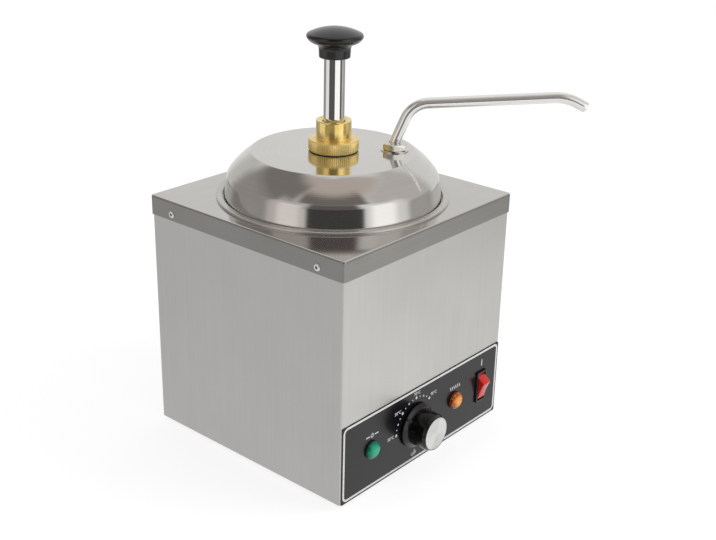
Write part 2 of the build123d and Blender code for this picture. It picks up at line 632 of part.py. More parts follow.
def pump_collar():
    """Brass head of the pump: a flange under the lid, a neck through it and a skirt in the barrel."""
    flange_top, flange_low = LID_UNDER - 1.0, LID_UNDER - 4.0
    skirt_r, skirt_low = BARREL_R - 0.1, 244.0
    return turned((9.6, skirt_low), (skirt_r, skirt_low), (skirt_r, flange_low), (20.5, flange_low),
                  (20.5, flange_top), (COLLAR_R, flange_top), (COLLAR_R, COLLAR_TOP, 0.8),
                  (12.8, COLLAR_TOP, 0.5), (12.8, 284), (11.6, 284), (11.6, 262), (9.6, 262))


def collar_gasket():
    return tube(20.5, COLLAR_R + 0.1, LID_UNDER - 1.0, LID_UNDER)


def guide_bush():
    """Plastic bush that guides the plunger in the collar."""
    return turned((PLUNGER_R + FIT, 262.1), (11.5, 262.1), (11.5, 284.0), (12.6, 284.1), (12.6, 285.6, 0.5),
                  (PLUNGER_R + FIT, 285.6, 0.4))


def pump_barrel():
    return tube(BARREL_R + BARREL_WALL, BARREL_R, VALVE_Z + 12, LID_UNDER - 4.0)


def foot_valve():
    """Brass foot of the pump: inlet seat, side passage and the outlet chamber under the riser."""
    barrel_r = BARREL_R + BARREL_WALL
    body = rod(18, VALVE_Z, VALVE_Z + 18)
    arm = along_spout(6.0, SPOUT_REACH - 6, VALVE_Z + 6.5)
    riser_foot = at_spout(rod(8.5, VALVE_Z, VALVE_Z + 27.5))
    body = body + arm + riser_foot
    body -= rod(barrel_r + 0.05, VALVE_Z + 12, VALVE_Z + 20)
    body -= rod(8.5, VALVE_Z + 4, VALVE_Z + 13)
    body -= rod(INLET_PORT_R, VALVE_Z - 1, VALVE_Z + 5)
    body -= along_spout(3.0, SPOUT_REACH, VALVE_Z + 7.5)
    body -= at_spout(rod(OUTLET_PORT_R, VALVE_Z + 4.5, VALVE_Z + 12))
    body -= at_spout(rod(6.0, OUTLET_SEAT_Z, VALVE_Z + 22.5))
    return body - at_spout(rod(SPOUT_R + 0.05, VALVE_Z + 22.5, VALVE_Z + 30))


INLET_PORT_R, INLET_BALL_R = 4.5, 6.0
OUTLET_PORT_R, OUTLET_BALL_R = 3.4, 4.5
OUTLET_SEAT_Z = VALVE_Z + 11.0


def ball_on_seat(ball_r, port_r, seat_z):
    """Ball resting a hair above the sharp edge of its port."""
    return Pos(0, 0, seat_z + sqrt(ball_r ** 2 - port_r ** 2) + 0.05) * Sphere(ball_r)


def inlet_ball():
    return ball_on_seat(INLET_BALL_R, INLET_PORT_R, VALVE_Z + 4)


def outlet_ball():
    return at_spout(ball_on_seat(OUTLET_BALL_R, OUTLET_PORT_R, OUTLET_SEAT_Z))


def ball_cage():
    """Perforated disc on a short skirt: it stops the inlet ball and carries the spring."""
    low, out = VALVE_Z + 12, BARREL_R - 0.1
    cage = turned((0, low + 6), (11.8, low + 6), (11.8, low), (out, low), (out, low + 7.4), (0, low + 7.4))
    return cage - [Rot(0, 0, 60 * step) * rod(2.4, low, low + 10, 7.2) for step in range(6)]


def riser_tube():
    return at_spout(tube(SPOUT_R, SPOUT_BORE_R, VALVE_Z + 22.5, 252.0))


def spout_gland():
    """Threaded fitting through the lid: the riser enters below and the spout above."""
    bore, flange_low, neck_top = SPOUT_R + 0.05, LID_UNDER - 2.4, 266.4
    return at_spout(turned(
        (bore, 246), (7.4, 246, 0.6), (7.4, flange_low), (10.0, flange_low), (10.0, LID_UNDER),
        (6.3, LID_UNDER), (6.3, neck_top), (bore + 0.05, neck_top), (bore + 0.05, 254), (SPOUT_BORE_R, 254),
        (SPOUT_BORE_R, 252.2), (bore, 252.2)))


def spout_washer():
    return at_spout(tube(12.3, 6.45, LID_Z, LID_Z + 0.9))


def spout_nut():
    """Hexagonal nut that closes in over the tube, with bevelled corners."""
    low, high, turn = LID_Z + 0.9, LID_Z + 7.0, 20.6
    corner_r = 19.0 / sqrt(3)
    bevel = turned((0, low), (corner_r - 0.4, low), (corner_r + 0.1, low + 0.4),
                   (corner_r + 0.1, high - 0.7), (corner_r - 1.1, high), (0, high))
    nut = hexagon(19.0, low, high, turn=turn) & bevel
    return at_spout(nut - rod(6.4, low - 1, high - 1.5) - rod(SPOUT_R + 0.4, low, high + 1))


def spout_ferrule():
    return at_spout(tube(6.1, SPOUT_R + 0.12, 266.45, LID_Z + 5.4))


# ------------------------------------------------------------------ plunger
def return_spring():
    """Coil spring from the ball cage up to the piston; the ends meet their seats."""
    wire_r, mean_r, turns = 0.9, 11.0, 11
    low, high = VALVE_Z + 19.4 + wire_r + 0.1, PISTON_Z - wire_r - 0.1
    pitch = (high - low) / turns
    helix = Pos(0, 0, low) * Helix(pitch=pitch, height=high - low, radius=mean_r)
    print("return spring: gap between turns", round(pitch - 2 * wire_r, 2),
          "pressed", round((high - low - STROKE) / turns - 2 * wire_r, 2))
    return swept(helix, wire_r)


def piston():
    """Plastic piston with two ring grooves and a socket for the plunger."""
    out, groove, socket, top = 13.6, 11.6, PLUNGER_R + 0.02, PISTON_Z + 14
    outline = [(0, PISTON_Z), (out, PISTON_Z, 0.4)]
    for low in (2.2, 9.2):
        outline += [(out, PISTON_Z + low), (groove, PISTON_Z + low)]
        outline += [(groove, PISTON_Z + low + 2.6), (out, PISTON_Z + low + 2.6)]
    outline += [(out, top, 0.4), (socket, top), (socket, PISTON_Z + 7), (0, PISTON_Z + 7)]
    return turned(*outline)


def piston_rings():
    """Two round rubber rings that seal the piston in the barrel."""
    section = 1.1
    ring = Torus(BARREL_R - FIT - section, section)
    return [Pos(0, 0, PISTON_Z + z) * ring for z in (3.5, 10.5)]


def plunger_tube():
    return tube(PLUNGER_R, PLUNGER_R - 1.2, PISTON_Z + 7, KNOB_Z + 10.4)


def rod_stop():
    """Clip ring on the plunger that meets the collar's skirt at the top of the stroke."""
    ring = tube(12.0, PLUNGER_R + 0.02, 241.7, 243.7)
    return ring - block((-1.5, 0, 240), (1.5, 13, 245))


def knob_stud():
    """Plug fixed in the tube's end, with the threaded stud that carries the knob."""
    plug = rod(PLUNGER_R - 1.22, KNOB_Z - 4, KNOB_Z + 10.2)
    return plug + rod(4.0, KNOB_Z + 10, KNOB_Z + 18)


def push_knob():
    """Mushroom knob: straight neck, hollow flare, rolled edge and a shallow dome."""
    rim_r, rim_rise, height = 22.5, 20.0, 25.3
    crown = height - rim_rise
    dome_r = (rim_r ** 2 + crown ** 2) / (2 * crown)
    dome_mid = (rim_r / 2, height - dome_r + sqrt(dome_r ** 2 - rim_r ** 2 / 4))
    edges = [
        Line((0, 0), (12.5, 0)),
        ThreePointArc((12.5, 0), (13.0, 0.25), (13.2, 0.8)),
        Line((13.2, 0.8), (13.5, 7.0)),
        ThreePointArc((13.5, 7.0), (14.3, 9.7), (16.2, 11.6)),
        ThreePointArc((16.2, 11.6), (20.9, 13.4), (23.2, 15.9)),
        ThreePointArc((23.2, 15.9), (23.85, 18.1), (rim_r, rim_rise)),
        ThreePointArc((rim_r, rim_rise), dome_mid, (0, height)),
        Line((0, height), (0, 0)),
    ]
    knob = revolve(Plane.XZ * make_face(Wire([edge.edge() for edge in edges])), Axis.Z)
    knob -= rod(PLUNGER_R + 0.05, -1, 10.5)
    return Pos(0, 0, KNOB_Z) * (knob - rod(4.02, 10, 18.2))


def spout_path():
    """Centre line in the X-Z plane, walked as straight runs and bends from the gland up."""
    x, z, heading = 0.0, 254.2, 90.0
    edges = []
    moves = [("run", LID_Z + 5.0 - 254.2), ("bend", 14.0, 90 - SPOUT_LEAN), ("run", 19.1),
             ("bend", 21.6, SPOUT_RISE), ("run", 107.3), ("bend", 39.9, -SPOUT_DROP), ("run", 9.1)]
    for move in moves:
        slope = radians(heading)
        if move[0] == "run":
            end_x, end_z = x + move[1] * cos(slope), z + move[1] * sin(slope)
            edges.append(Line((x, 0, z), (end_x, 0, end_z)).edge())
        else:
            radius, goal = move[1], move[2]
            centre_x, centre_z = x + radius * sin(slope), z - radius * cos(slope)
            angles = [radians(a) for a in (heading, (heading + goal) / 2, goal)]
            points = [(centre_x - radius * sin(a), 0, centre_z + radius * cos(a)) for a in angles]
            edges.append(ThreePointArc(*points).edge())
            end_x, end_z, heading = points[2][0], points[2][2], goal
        x, z = end_x, end_z
    return Wire(edges)


def spout_tube():
    """Bent discharge tube with its bore."""
    path = spout_path()
    start = Plane(origin=path @ 0, z_dir=path % 0)
    solid = sweep(start * Circle(SPOUT_R), path=path) - sweep(start * Circle(SPOUT_BORE_R), path=path)
    return at_spout(Rot(0, 0, SPOUT_ANGLE) * solid)


# ------------------------------------------------------------------ one file for each node
NODES = [
    casing, back_panel, back_screws, top_plate, lip_rivets, base_plate, base_screws, rubber_feet, foot_bolts,
    water_well, heating_element, heater_glands, insulation_wrap, insulation_pad, deck_plate,
    thermostat_body, thermostat_screws, thermostat_bulb, bulb_clip, thermal_cutout, cutout_nuts,
    terminal_block, earth_stud, cable_gland, wiring,
    control_overlay, lamp_housings, lamp_clips, power_lamp_lens, heating_lamp_lens, switch_housing, rocker,
    thermostat_knob, knob_insert, thermostat_spindle, inset_pot,
    lid, ring_gasket, pump_ring, pump_collar, collar_gasket, guide_bush, pump_barrel, foot_valve, ball_cage,
    inlet_ball, outlet_ball, riser_tube, spout_gland, spout_washer, spout_nut, spout_ferrule,
    return_spring, piston, piston_rings, plunger_tube, rod_stop, knob_stud, push_knob, spout_tube,
]


def main():
    os.makedirs("parts", exist_ok=True)
    for make in NODES:
        made = make()
        solids = made if isinstance(made, list) else [made]
        bodies = [solid for piece in solids for solid in piece.solids()]
        shape = bodies[0] if len(bodies) == 1 else Compound(children=bodies)
        shape.label = make.__name__
        export_step(shape, os.path.join("parts", make.__name__ + ".step"))


main()
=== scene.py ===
"""A square countertop topping warmer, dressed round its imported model. Sizes are in millimetres."""
import logging
from dataclasses import dataclass, field
from enum import Enum
from math import atan2, ceil, copysign, cos, degrees, pi, radians, sin, sqrt, tan
from typing import Iterable, Optional, Sequence

import bmesh
import bpy
from mathutils import Matrix, Vector


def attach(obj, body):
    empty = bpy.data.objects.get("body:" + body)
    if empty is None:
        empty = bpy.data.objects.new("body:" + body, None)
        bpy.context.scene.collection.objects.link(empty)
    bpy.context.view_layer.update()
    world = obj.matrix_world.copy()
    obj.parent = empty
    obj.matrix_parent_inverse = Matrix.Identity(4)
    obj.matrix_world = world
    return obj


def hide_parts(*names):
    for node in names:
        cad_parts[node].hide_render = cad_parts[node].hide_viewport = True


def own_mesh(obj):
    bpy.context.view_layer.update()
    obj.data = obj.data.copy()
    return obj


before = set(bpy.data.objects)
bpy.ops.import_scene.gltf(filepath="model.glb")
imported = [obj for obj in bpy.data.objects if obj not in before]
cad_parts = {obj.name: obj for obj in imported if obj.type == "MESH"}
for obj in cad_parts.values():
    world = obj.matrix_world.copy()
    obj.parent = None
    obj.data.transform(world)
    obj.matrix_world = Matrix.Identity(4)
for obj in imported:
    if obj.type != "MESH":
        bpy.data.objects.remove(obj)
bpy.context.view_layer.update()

LOG = logging.getLogger("warmer")
MM = 0.001
FRONT_Y = -110.0        # outside of the casing's front
PLATE_TOP = 222.0       # top of the pan, above the table
CONTROL_Z = 41.0        # middle line of the controls
DIAL_X = -13.2
POWER_LAMP_X = -71.5
HEATING_LAMP_X = 43.3
LAMP_Z = 42.2           # the lamps sit a little above that line
LENS_R = 8.0
SPOUT_ANGLE = -46.0     # degrees from +X to the gland, seen from above, and the spout's own direction
UPRIGHT = Matrix.Identity(4)

Point = tuple[float, float]
Corner = tuple[float, float, float]
Outline = Sequence[Sequence[float]]
Tree = bpy.types.NodeTree
Socket = bpy.types.NodeSocket
Node = bpy.types.Node
Mesh = bpy.types.Mesh
Colour = tuple[float, float, float, float]


# ---------------------------------------------------------------- colour and nodes
def linear(code: str) -> Colour:
    """Turns an sRGB hex code into a linear colour.

    Args:
        code: six hex digits after a hash.

    Returns:
        Red, green, blue and an alpha of 1.
    """
    parts = [int(code[i:i + 2], 16) / 255 for i in (1, 3, 5)]
    lit = [c / 12.92 if c <= 0.04045 else ((c + 0.055) / 1.055) ** 2.4 for c in parts]
    return (lit[0], lit[1], lit[2], 1.0)


def add(tree: Tree, kind: str, settings: Optional[dict] = None,
        links: Optional[dict] = None) -> Node:
    """Adds a node with its settings and links.

    Args:
        tree: the node tree.
        kind: the node's type name after "ShaderNode".
        settings: attribute names, or input names or numbers, to values.
        links: input names or numbers to output sockets.

    Returns:
        The node.
    """
    made = tree.nodes.new("ShaderNode" + kind)
    for key, value in (settings or {}).items():
        if isinstance(key, str) and hasattr(made, key):
            setattr(made, key, value)
        else:
            made.inputs[key].default_value = value
    for key, socket in (links or {}).items():
        tree.links.new(socket, made.inputs[key])
    return made


def mixed(tree: Tree, share: Socket, first: str, second: str) -> Socket:
    """Mixes two sRGB hex colours: a share of 0 gives the first and 1 the second."""
    colours = {"data_type": "RGBA", 6: linear(first), 7: linear(second)}
    return add(tree, "Mix", colours, {"Factor": share}).outputs[2]


def vector(tree: Tree, operation: str, socket: Socket,
           other: Optional[Sequence[float]] = None) -> Socket:
    """Works on a vector.

    Args:
        tree: the node tree.
        operation: the sum, as a vector node names it.
        socket: the vector.
        other: the constant that the sum takes with it.

    Returns:
        The result: a number for a length or a dot product.
    """
    settings = {"operation": operation} if other is None else {"operation": operation, 1: other}
    made = add(tree, "VectorMath", settings, {0: socket})
    return made.outputs["Value" if operation in ("LENGTH", "DOT_PRODUCT") else "Vector"]


class Surface:
    """What a piece is made of, built as a material the first time that it is asked for."""

    name: str

    def shader(self, tree: Tree) -> Node:
        """Adds the surface's nodes and gives its shader."""
        raise NotImplementedError

    def material(self) -> bpy.types.Material:
        """Builds the material once and returns it."""
        known = bpy.data.materials.get(self.name)
        if known:
            return known
        made = bpy.data.materials.new(self.name)
        made.use_nodes = True
        made.node_tree.nodes.clear()
        add(made.node_tree, "OutputMaterial", links={"Surface": self.shader(made.node_tree).outputs[0]})
        return made


class Grain(Enum):
    """Which way a surface's marks run."""

    UPRIGHT = "lines along Z"
    ACROSS = "lines along X"
    RINGS_UP = "rings about an upright axis"
    RINGS_FRONT = "rings about an axis out of the front"
    EVEN = "the same in every direction"


# What to stretch each grain's noise by: True is the spacing, False the length of a mark.
GRAIN_AXES = {Grain.UPRIGHT: (True, True, False), Grain.ACROSS: (False, True, True),
              Grain.RINGS_UP: (True, True, True), Grain.RINGS_FRONT: (True, True, True),
              Grain.EVEN: (True, True, True)}


@dataclass(frozen=True)
class Finish(Surface):
    """A surface by what it is made of and how it was worked.

    Colours are sRGB hex codes and lengths are millimetres. Depth is the height of the marks.
    """

    name: str
    colour: str
    stain: str
    roughness: float
    spread: float = 0.05            # how much the roughness wanders either side
    metallic: float = 0.0
    grain: Grain = Grain.EVEN
    spacing: float = 0.5
    length: float = 60.0
    depth: float = 0.004
    patch: float = 40.0             # size of the cloudy patches of stain
    centre: Point = (0.0, 0.0)
    anisotropic: float = 0.0
    coat: float = 0.0
    coat_roughness: float = 0.08
    ior: float = 1.5
    subsurface: float = 0.0

    def coordinates(self, tree: Tree) -> Socket:
        """Gives the vector that the marks are drawn on, one unit for each mark.

        Args:
            tree: the material's node tree.

        Returns:
            The scaled vector.
        """
        place = add(tree, "TexCoord").outputs["Object"]
        if self.grain in (Grain.RINGS_UP, Grain.RINGS_FRONT):
            apart = add(tree, "SeparateXYZ", links={0: place})
            second, third = ("Y", "Z") if self.grain is Grain.RINGS_UP else ("Z", "Y")
            flat = add(tree, "CombineXYZ", links={"X": apart.outputs["X"], "Y": apart.outputs[second]})
            arm = vector(tree, "SUBTRACT", flat.outputs[0], (self.centre[0] * MM, self.centre[1] * MM, 0))
            radius = vector(tree, "LENGTH", arm)
            place = add(tree, "CombineXYZ", links={"X": radius, "Y": apart.outputs[third]}).outputs[0]
        sizes = [self.spacing if fine else self.length for fine in GRAIN_AXES[self.grain]]
        return add(tree, "Mapping", {"Scale": [1 / (size * MM) for size in sizes]}, {0: place}).outputs[0]

    def shader(self, tree: Tree) -> Node:
        """Adds fine marks over cloudy patches, which steer colour, roughness and bump.

        Args:
            tree: the material's node tree.

        Returns:
            The shader.
        """
        marks = add(tree, "TexNoise", {"Scale": 1.0, "Detail": 2.0, "Roughness": 0.6},
                    {"Vector": self.coordinates(tree)})
        cloud = add(tree, "TexNoise", {"Scale": 1 / (self.patch * MM), "Detail": 3.0, "Roughness": 0.55},
                    {"Vector": add(tree, "TexCoord").outputs["Object"]})
        both = add(tree, "Math", {"operation": "ADD"}, {0: marks.outputs["Fac"], 1: cloud.outputs["Fac"]})
        # Two noises of about a half each add up to one, give or take a quarter.
        tint = add(tree, "MapRange", {"From Min": 0.75, "From Max": 1.25}, {"Value": both.outputs[0]})
        rough = add(tree, "MapRange", {"From Min": 0.7, "From Max": 1.3,
                                       "To Min": max(0.02, self.roughness - self.spread),
                                       "To Max": min(1.0, self.roughness + self.spread)},
                    {"Value": both.outputs[0]})
        bump = add(tree, "Bump", {"Strength": 0.6, "Distance": self.depth * MM},
                   {"Height": marks.outputs["Fac"]})
        made = add(tree, "BsdfPrincipled", {
            "Metallic": self.metallic, "IOR": self.ior, "Anisotropic": self.anisotropic,
            "Coat Weight": self.coat, "Coat Roughness": self.coat_roughness,
            "Subsurface Weight": self.subsurface, "Subsurface Scale": 2 * MM,
        }, {"Base Color": mixed(tree, tint.outputs[0], self.colour, self.stain),
            "Roughness": rough.outputs[0], "Normal": bump.outputs[0]})
        if self.anisotropic:
            rings = self.grain in (Grain.RINGS_UP, Grain.RINGS_FRONT)
            made.inputs["Anisotropic Rotation"].default_value = 0.25 if rings else 0.0
            axis = "Y" if self.grain is Grain.RINGS_FRONT else "Z"
            tangent = add(tree, "Tangent", {"direction_type": "RADIAL", "axis": axis})
            tree.links.new(tangent.outputs[0], made.inputs["Tangent"])
        return made


@dataclass(frozen=True)
class Metal(Finish):
    """A finish of bare metal."""

    metallic: float = 1.0


# ---------------------------------------------------------------- the finishes
# Stainless sheet with a fine belt-brushed grain: soft grey, faintly streaked upright.
BRUSHED_SHEET = Metal("stainless_brushed_upright", "#CFCECC", "#CAC9C7", 0.31, spread=0.02,
                      grain=Grain.UPRIGHT, spacing=0.8, length=120.0, depth=0.0007, patch=90.0,
                      anisotropic=0.5)
# The same sheet turned for the pan on top: a finer belt, so it mirrors the lid's wall.
BRUSHED_PAN = Metal("stainless_brushed_across", "#D0CDCA", "#C9C6C3", 0.12, spread=0.015, grain=Grain.ACROSS,
                    spacing=0.8, length=140.0, depth=0.0008, patch=70.0, anisotropic=0.3)
# The pan's lips, brushed along their length, in a darker copy of the pan's sheet: painted shade on the
# upright lips.
LIP_SHEET_PAINTED_SHADE = Metal("stainless_lip_painted_shade", "#9C9B99", "#969592", 0.30, spread=0.03, grain=Grain.ACROSS,
                    spacing=0.8, length=140.0, depth=0.0009, patch=70.0)
# Spun and buffed stainless: near mirror with a soft bloom.
BUFFED_LID = Metal("stainless_buffed_rings", "#DAD8D5", "#D5D3D0", 0.10, spread=0.012, grain=Grain.RINGS_UP,
                   spacing=2.4, depth=0.0002, patch=60.0)
# Deep drawn stainless: satin inside with shallow draw marks.
DRAWN_POT = Metal("stainless_drawn_satin", "#CFCDC9", "#C3C0BC", 0.24, spread=0.04, metallic=0.8,
                  grain=Grain.RINGS_UP, spacing=1.6, depth=0.001, patch=50.0, anisotropic=0.3)
# Bright drawn tube: mirror finish, almost no marks.
BRIGHT_TUBE = Metal("stainless_bright_tube", "#E4E3E1", "#DEDDDB", 0.04, spread=0.01, spacing=1.0,
                    depth=0.0002, patch=30.0)
# The bent spout, polished after bending: a little softer.
POLISHED_SPOUT = Metal("stainless_polished_spout", "#F4F3F1", "#ECEBE9", 0.10, spread=0.02, metallic=0.8,
                       spacing=1.0, depth=0.0003, patch=30.0)
# Turned brass: pale gold with fine lathe lines.
TURNED_BRASS = Metal("brass_turned", "#FEE49A", "#F6D272", 0.17, spread=0.03, metallic=0.85,
                     grain=Grain.RINGS_UP, spacing=0.45, depth=0.001, patch=18.0, anisotropic=0.3, coat=0.6,
                     coat_roughness=0.12)
# Rolled straight knurl in brass: its small faces scatter, so it reads paler than the collar.
KNURLED_BRASS = Metal("brass_knurled", "#FFE69A", "#F8D680", 0.30, spread=0.04, metallic=0.70,
                      grain=Grain.RINGS_UP, spacing=0.45, depth=0.001, patch=18.0, coat=0.4,
                      coat_roughness=0.2)
# Cast and machined brass of the pump's foot: duller and browner.
CAST_BRASS = Metal("brass_cast", "#C9A24E", "#A9823A", 0.33, spread=0.08, spacing=1.4, depth=0.01, patch=14.0)
# Nickel plate over brass: warm silver, clean facets.
NICKEL_PLATE = Metal("nickel_plate", "#E2E0DC", "#CFCCC7", 0.08, spread=0.02, spacing=0.8, depth=0.0003,
                     patch=8.0)
# Zinc plated screws and studs: pale grey with a faint bloom.
ZINC_PLATE = Metal("zinc_plate", "#C9CBCC", "#AFB2B3", 0.30, spread=0.08, spacing=0.6, depth=0.003, patch=4.0)
# Tumbled aluminium of the blind rivets: pale, its bright rim softened.
TUMBLED_ALUMINIUM = Metal("aluminium_tumbled", "#F0F0EF", "#E4E4E3", 0.32, metallic=0.75, depth=0.002,
                          patch=3.0)
# Spun aluminium: white metal, rings that throw a bright fan of light.
SPUN_ALUMINIUM = Metal("aluminium_spun", "#ECECEB", "#E2E2E1", 0.34, spread=0.04, grain=Grain.RINGS_FRONT,
                       depth=0.002, patch=12.0, centre=(DIAL_X, CONTROL_Z), anisotropic=0.92)
# Spring wire, drawn and oiled.
SPRING_WIRE = Metal("spring_wire", "#9C9A96", "#7E7B76", 0.28, depth=0.003, patch=6.0)
# Heater sheath browned by heat.
HEATER_SHEATH = Metal("heater_sheath", "#8A7E74", "#5E534B", 0.42, spread=0.08, spacing=0.7, depth=0.006,
                      patch=16.0)
# Copper bulb and capillary.
COPPER = Metal("copper_tube", "#C98A63", "#A9694A", 0.28, spread=0.07, spacing=0.8, patch=10.0)
# Compression moulded phenolic, polished in the mould: deep black with a soft wet shine.
PHENOLIC_KNOB = Finish("phenolic_polished", "#101012", "#0B0B0D", 0.24, spread=0.03, depth=0.0006, patch=12.0,
                       coat=0.25, coat_roughness=0.10)
# Moulded ABS knob: deep black and glossy, with a little flow texture.
ABS_KNOB = Finish("abs_moulded_black", "#070708", "#0B0B0C", 0.15, spread=0.03, spacing=0.4, depth=0.0008,
                  patch=10.0)
# Nylon housings: matt black with a fine spark-eroded texture.
NYLON_HOUSING = Finish("nylon_textured", "#0C0C0D", "#161617", 0.42, spread=0.06, spacing=0.3, depth=0.006,
                       patch=8.0)
# Polished nylon of the bezels on the panel: black that picks up the room as the film does.
NYLON_BEZEL = Finish("nylon_moulded_glossy", "#0E0E10", "#131315", 0.20, spread=0.03, spacing=0.4,
                     depth=0.0008, patch=8.0)
# Electrical phenolic inside the cabinet.
PHENOLIC_BODY = Finish("phenolic_moulded", "#2A2420", "#1E1A17", 0.42, spread=0.06, depth=0.01, patch=10.0)
# Screen ink on the film: flat off-white.
SCREEN_INK = Finish("screen_ink_white", "#E8E8E6", "#DCDCDA", 0.48, spread=0.04, spacing=0.25, depth=0.002,
                    patch=5.0)
# Red rocker: moulded polycarbonate, clear red with a pale sheen on the face that leans down.
RED_ROCKER = Finish("polycarbonate_red", "#D82010", "#C4160C", 0.16, spread=0.03, depth=0.0006, patch=6.0,
                    coat=0.3, coat_roughness=0.10, ior=1.56, subsurface=0.1)
# Nitrile rubber: soft black, no shine.
NITRILE = Finish("nitrile_rubber", "#1A1A1A", "#262625", 0.68, spread=0.06, depth=0.02, patch=9.0)
# Acetal bush and piston: waxy white.
ACETAL = Finish("acetal_white", "#EDEBE4", "#E2DFD6", 0.34, depth=0.003, patch=12.0, subsurface=0.1)
# Glazed ceramic terminal block.
CERAMIC = Finish("ceramic_glazed", "#E6E1D6", "#D6D0C3", 0.22, spacing=1.0, depth=0.006, patch=9.0, coat=0.4)
# Mineral wool: pale, fibrous and rough.
MINERAL_WOOL = Finish("mineral_wool", "#DDD6BE", "#C4BA9B", 0.95, spread=0.04, spacing=0.9, depth=0.25,
                      patch=18.0)
# PVC sleeved wire: brown, slightly glossy.
PVC_SLEEVE = Finish("pvc_sleeve", "#7A4B30", "#5F3924", 0.38, spacing=0.4, depth=0.002, patch=14.0)


@dataclass(frozen=True)
class PrintedFilm(Surface):
    """Polycarbonate film printed black from behind. Its grey is the room in its gloss."""

    name: str = "polycarbonate_film_printed"
    field_colour: str = "#131219"
    border_colour: str = "#060607"
    middle: Point = (0.0, 41.25)                     # X and Z of the printed field's middle
    half: Point = (105.8, 33.4)
    corner: float = 3.4
    ior: float = 1.41                                # the matt tooth takes some of the gloss

    def shader(self, tree: Tree) -> Node:
        """Adds the printed field with its darker border, and the film's tooth.

        Args:
            tree: the material's node tree.

        Returns:
            The shader.
        """
        place = add(tree, "TexCoord").outputs["Object"]
        folded = vector(tree, "ABSOLUTE", vector(tree, "SUBTRACT", place,
                                                 (self.middle[0] * MM, 0, self.middle[1] * MM)))
        inner = ((self.half[0] - self.corner) * MM, 1.0, (self.half[1] - self.corner) * MM)
        past = vector(tree, "MAXIMUM", vector(tree, "SUBTRACT", folded, inner), (0, 0, 0))
        edge = add(tree, "Math", {"operation": "GREATER_THAN", 1: self.corner * MM},
                   {0: vector(tree, "LENGTH", past)})
        # A fine matt texture of 0.2 mm, drawn as 0.6 mm so that it shows.
        tooth = add(tree, "TexNoise", {"Scale": 1 / (0.6 * MM), "Detail": 2.0}, {"Vector": place})
        rough = add(tree, "MapRange", {"To Min": 0.20, "To Max": 0.27}, {"Value": tooth.outputs["Fac"]})
        bump = add(tree, "Bump", {"Strength": 0.2, "Distance": 0.002 * MM}, {"Height": tooth.outputs["Fac"]})
        return add(tree, "BsdfPrincipled", {"IOR": self.ior}, {
            "Base Color": mixed(tree, edge.outputs[0], self.field_colour, self.border_colour),
            "Roughness": rough.outputs[0], "Normal": bump.outputs[0]})


FILM = PrintedFilm()


@dataclass(frozen=True)
class TintedLens(Surface):
    """Tinted polycarbonate over a dark barrel: clear colour in the middle, painted shade toward the rim,
    painted glints on its prisms.
    """

    name: str
    colour: str
    # The rim colour is painted shade: the lens is drawn darker toward its edge.
    rim: str
    x: float
    painted_glint: float                    # how strongly the painted glints and shade of the moulded prisms show
    z: float = LAMP_Z
    radius: float = LENS_R
    prism_size: float = 1.7
    roughness: float = 0.11
    ior: float = 1.58

    def shader(self, tree: Tree) -> Node:
        """Adds the painted shade toward the rim and the painted glints and shade of the prisms moulded inside
        the lens.

        Args:
            tree: the material's node tree.

        Returns:
            The shader.
        """
        place = add(tree, "TexCoord").outputs["Object"]
        arm = vector(tree, "SUBTRACT", place, (self.x * MM, 0, self.z * MM))
        reach = vector(tree, "LENGTH", vector(tree, "MULTIPLY", arm, (1, 0, 1)))
        rim = self.radius * MM
        # Painted shade: the tint darkens from the middle to the rim.
        painted_rim_shade = add(tree, "MapRange", {"interpolation_type": "SMOOTHSTEP", "From Min": 0.35 * rim,
                                      "From Max": 1.05 * rim}, {"Value": reach})
        # Each prism cell is painted lighter or darker: painted glints and shade.
        cells = add(tree, "TexVoronoi", {"Scale": 1 / (self.prism_size * MM)}, {"Vector": place})
        grey = add(tree, "RGBToBW", links={0: cells.outputs["Color"]})
        painted_prism_glints = add(tree, "MapRange", {"To Min": -self.painted_glint, "To Max": self.painted_glint},
                     {"Value": grey.outputs[0]})
        painted_shade_and_glints = add(tree, "Math", {"operation": "ADD", "use_clamp": True},
                   {0: painted_rim_shade.outputs[0], 1: painted_prism_glints.outputs[0]})
        return add(tree, "BsdfPrincipled", {
            "Roughness": self.roughness, "IOR": self.ior, "Subsurface Weight": 0.15, "Subsurface Scale": MM,
        }, {"Base Color": mixed(tree, painted_shade_and_glints.outputs[0], self.colour, self.rim)})


# Each lens's second colour is painted rim shade; its number sets the strength of the painted prism glints.
GREEN_LENS = TintedLens("polycarbonate_green", "#08AC86", "#04604A", POWER_LAMP_X, 0.12, ior=1.46)
AMBER_LENS = TintedLens("polycarbonate_amber", "#F9A23C", "#8E3206", HEATING_LAMP_X, 0.45)


# ---------------------------------------------------------------- outlines and meshes
def rounded(points: Outline, closed: bool = False, step: float = 9.0) -> list[Point]:
    """Rounds an outline's corners.

    Args:
        points: corners as (a, b) or (a, b, radius).
        closed: whether the last corner joins the first.
        step: degrees of turn for each new point on an arc.

    Returns:
        The corners, with an arc in place of each rounded one.
    """
    out: list[Point] = []
    count = len(points)
    for i, corner in enumerate(points):
        here = Vector(corner[:2])
        radius = corner[2] if len(corner) > 2 else 0.0
        if radius <= 0 or (not closed and i in (0, count - 1)):
            out.append((here.x, here.y))
            continue
        before = Vector(points[i - 1][:2]) - here
        after = Vector(points[(i + 1) % count][:2]) - here
        u, v = before.normalized(), after.normalized()
        angle = u.angle(v)
        reach = min(radius / tan(angle / 2), 0.499 * before.length, 0.499 * after.length)
        true_radius = reach * tan(angle / 2)
        centre = here + (u + v).normalized() * (true_radius / sin(angle / 2))
        start, end = here + u * reach - centre, here + v * reach - centre
        steps = max(2, ceil(degrees(pi - angle) / step))
        turn = start.angle_signed(end)
        for k in range(steps + 1):
            a = -turn * k / steps
            out.append((centre.x + start.x * cos(a) - start.y * sin(a),
                        centre.y + start.x * sin(a) + start.y * cos(a)))
    return out


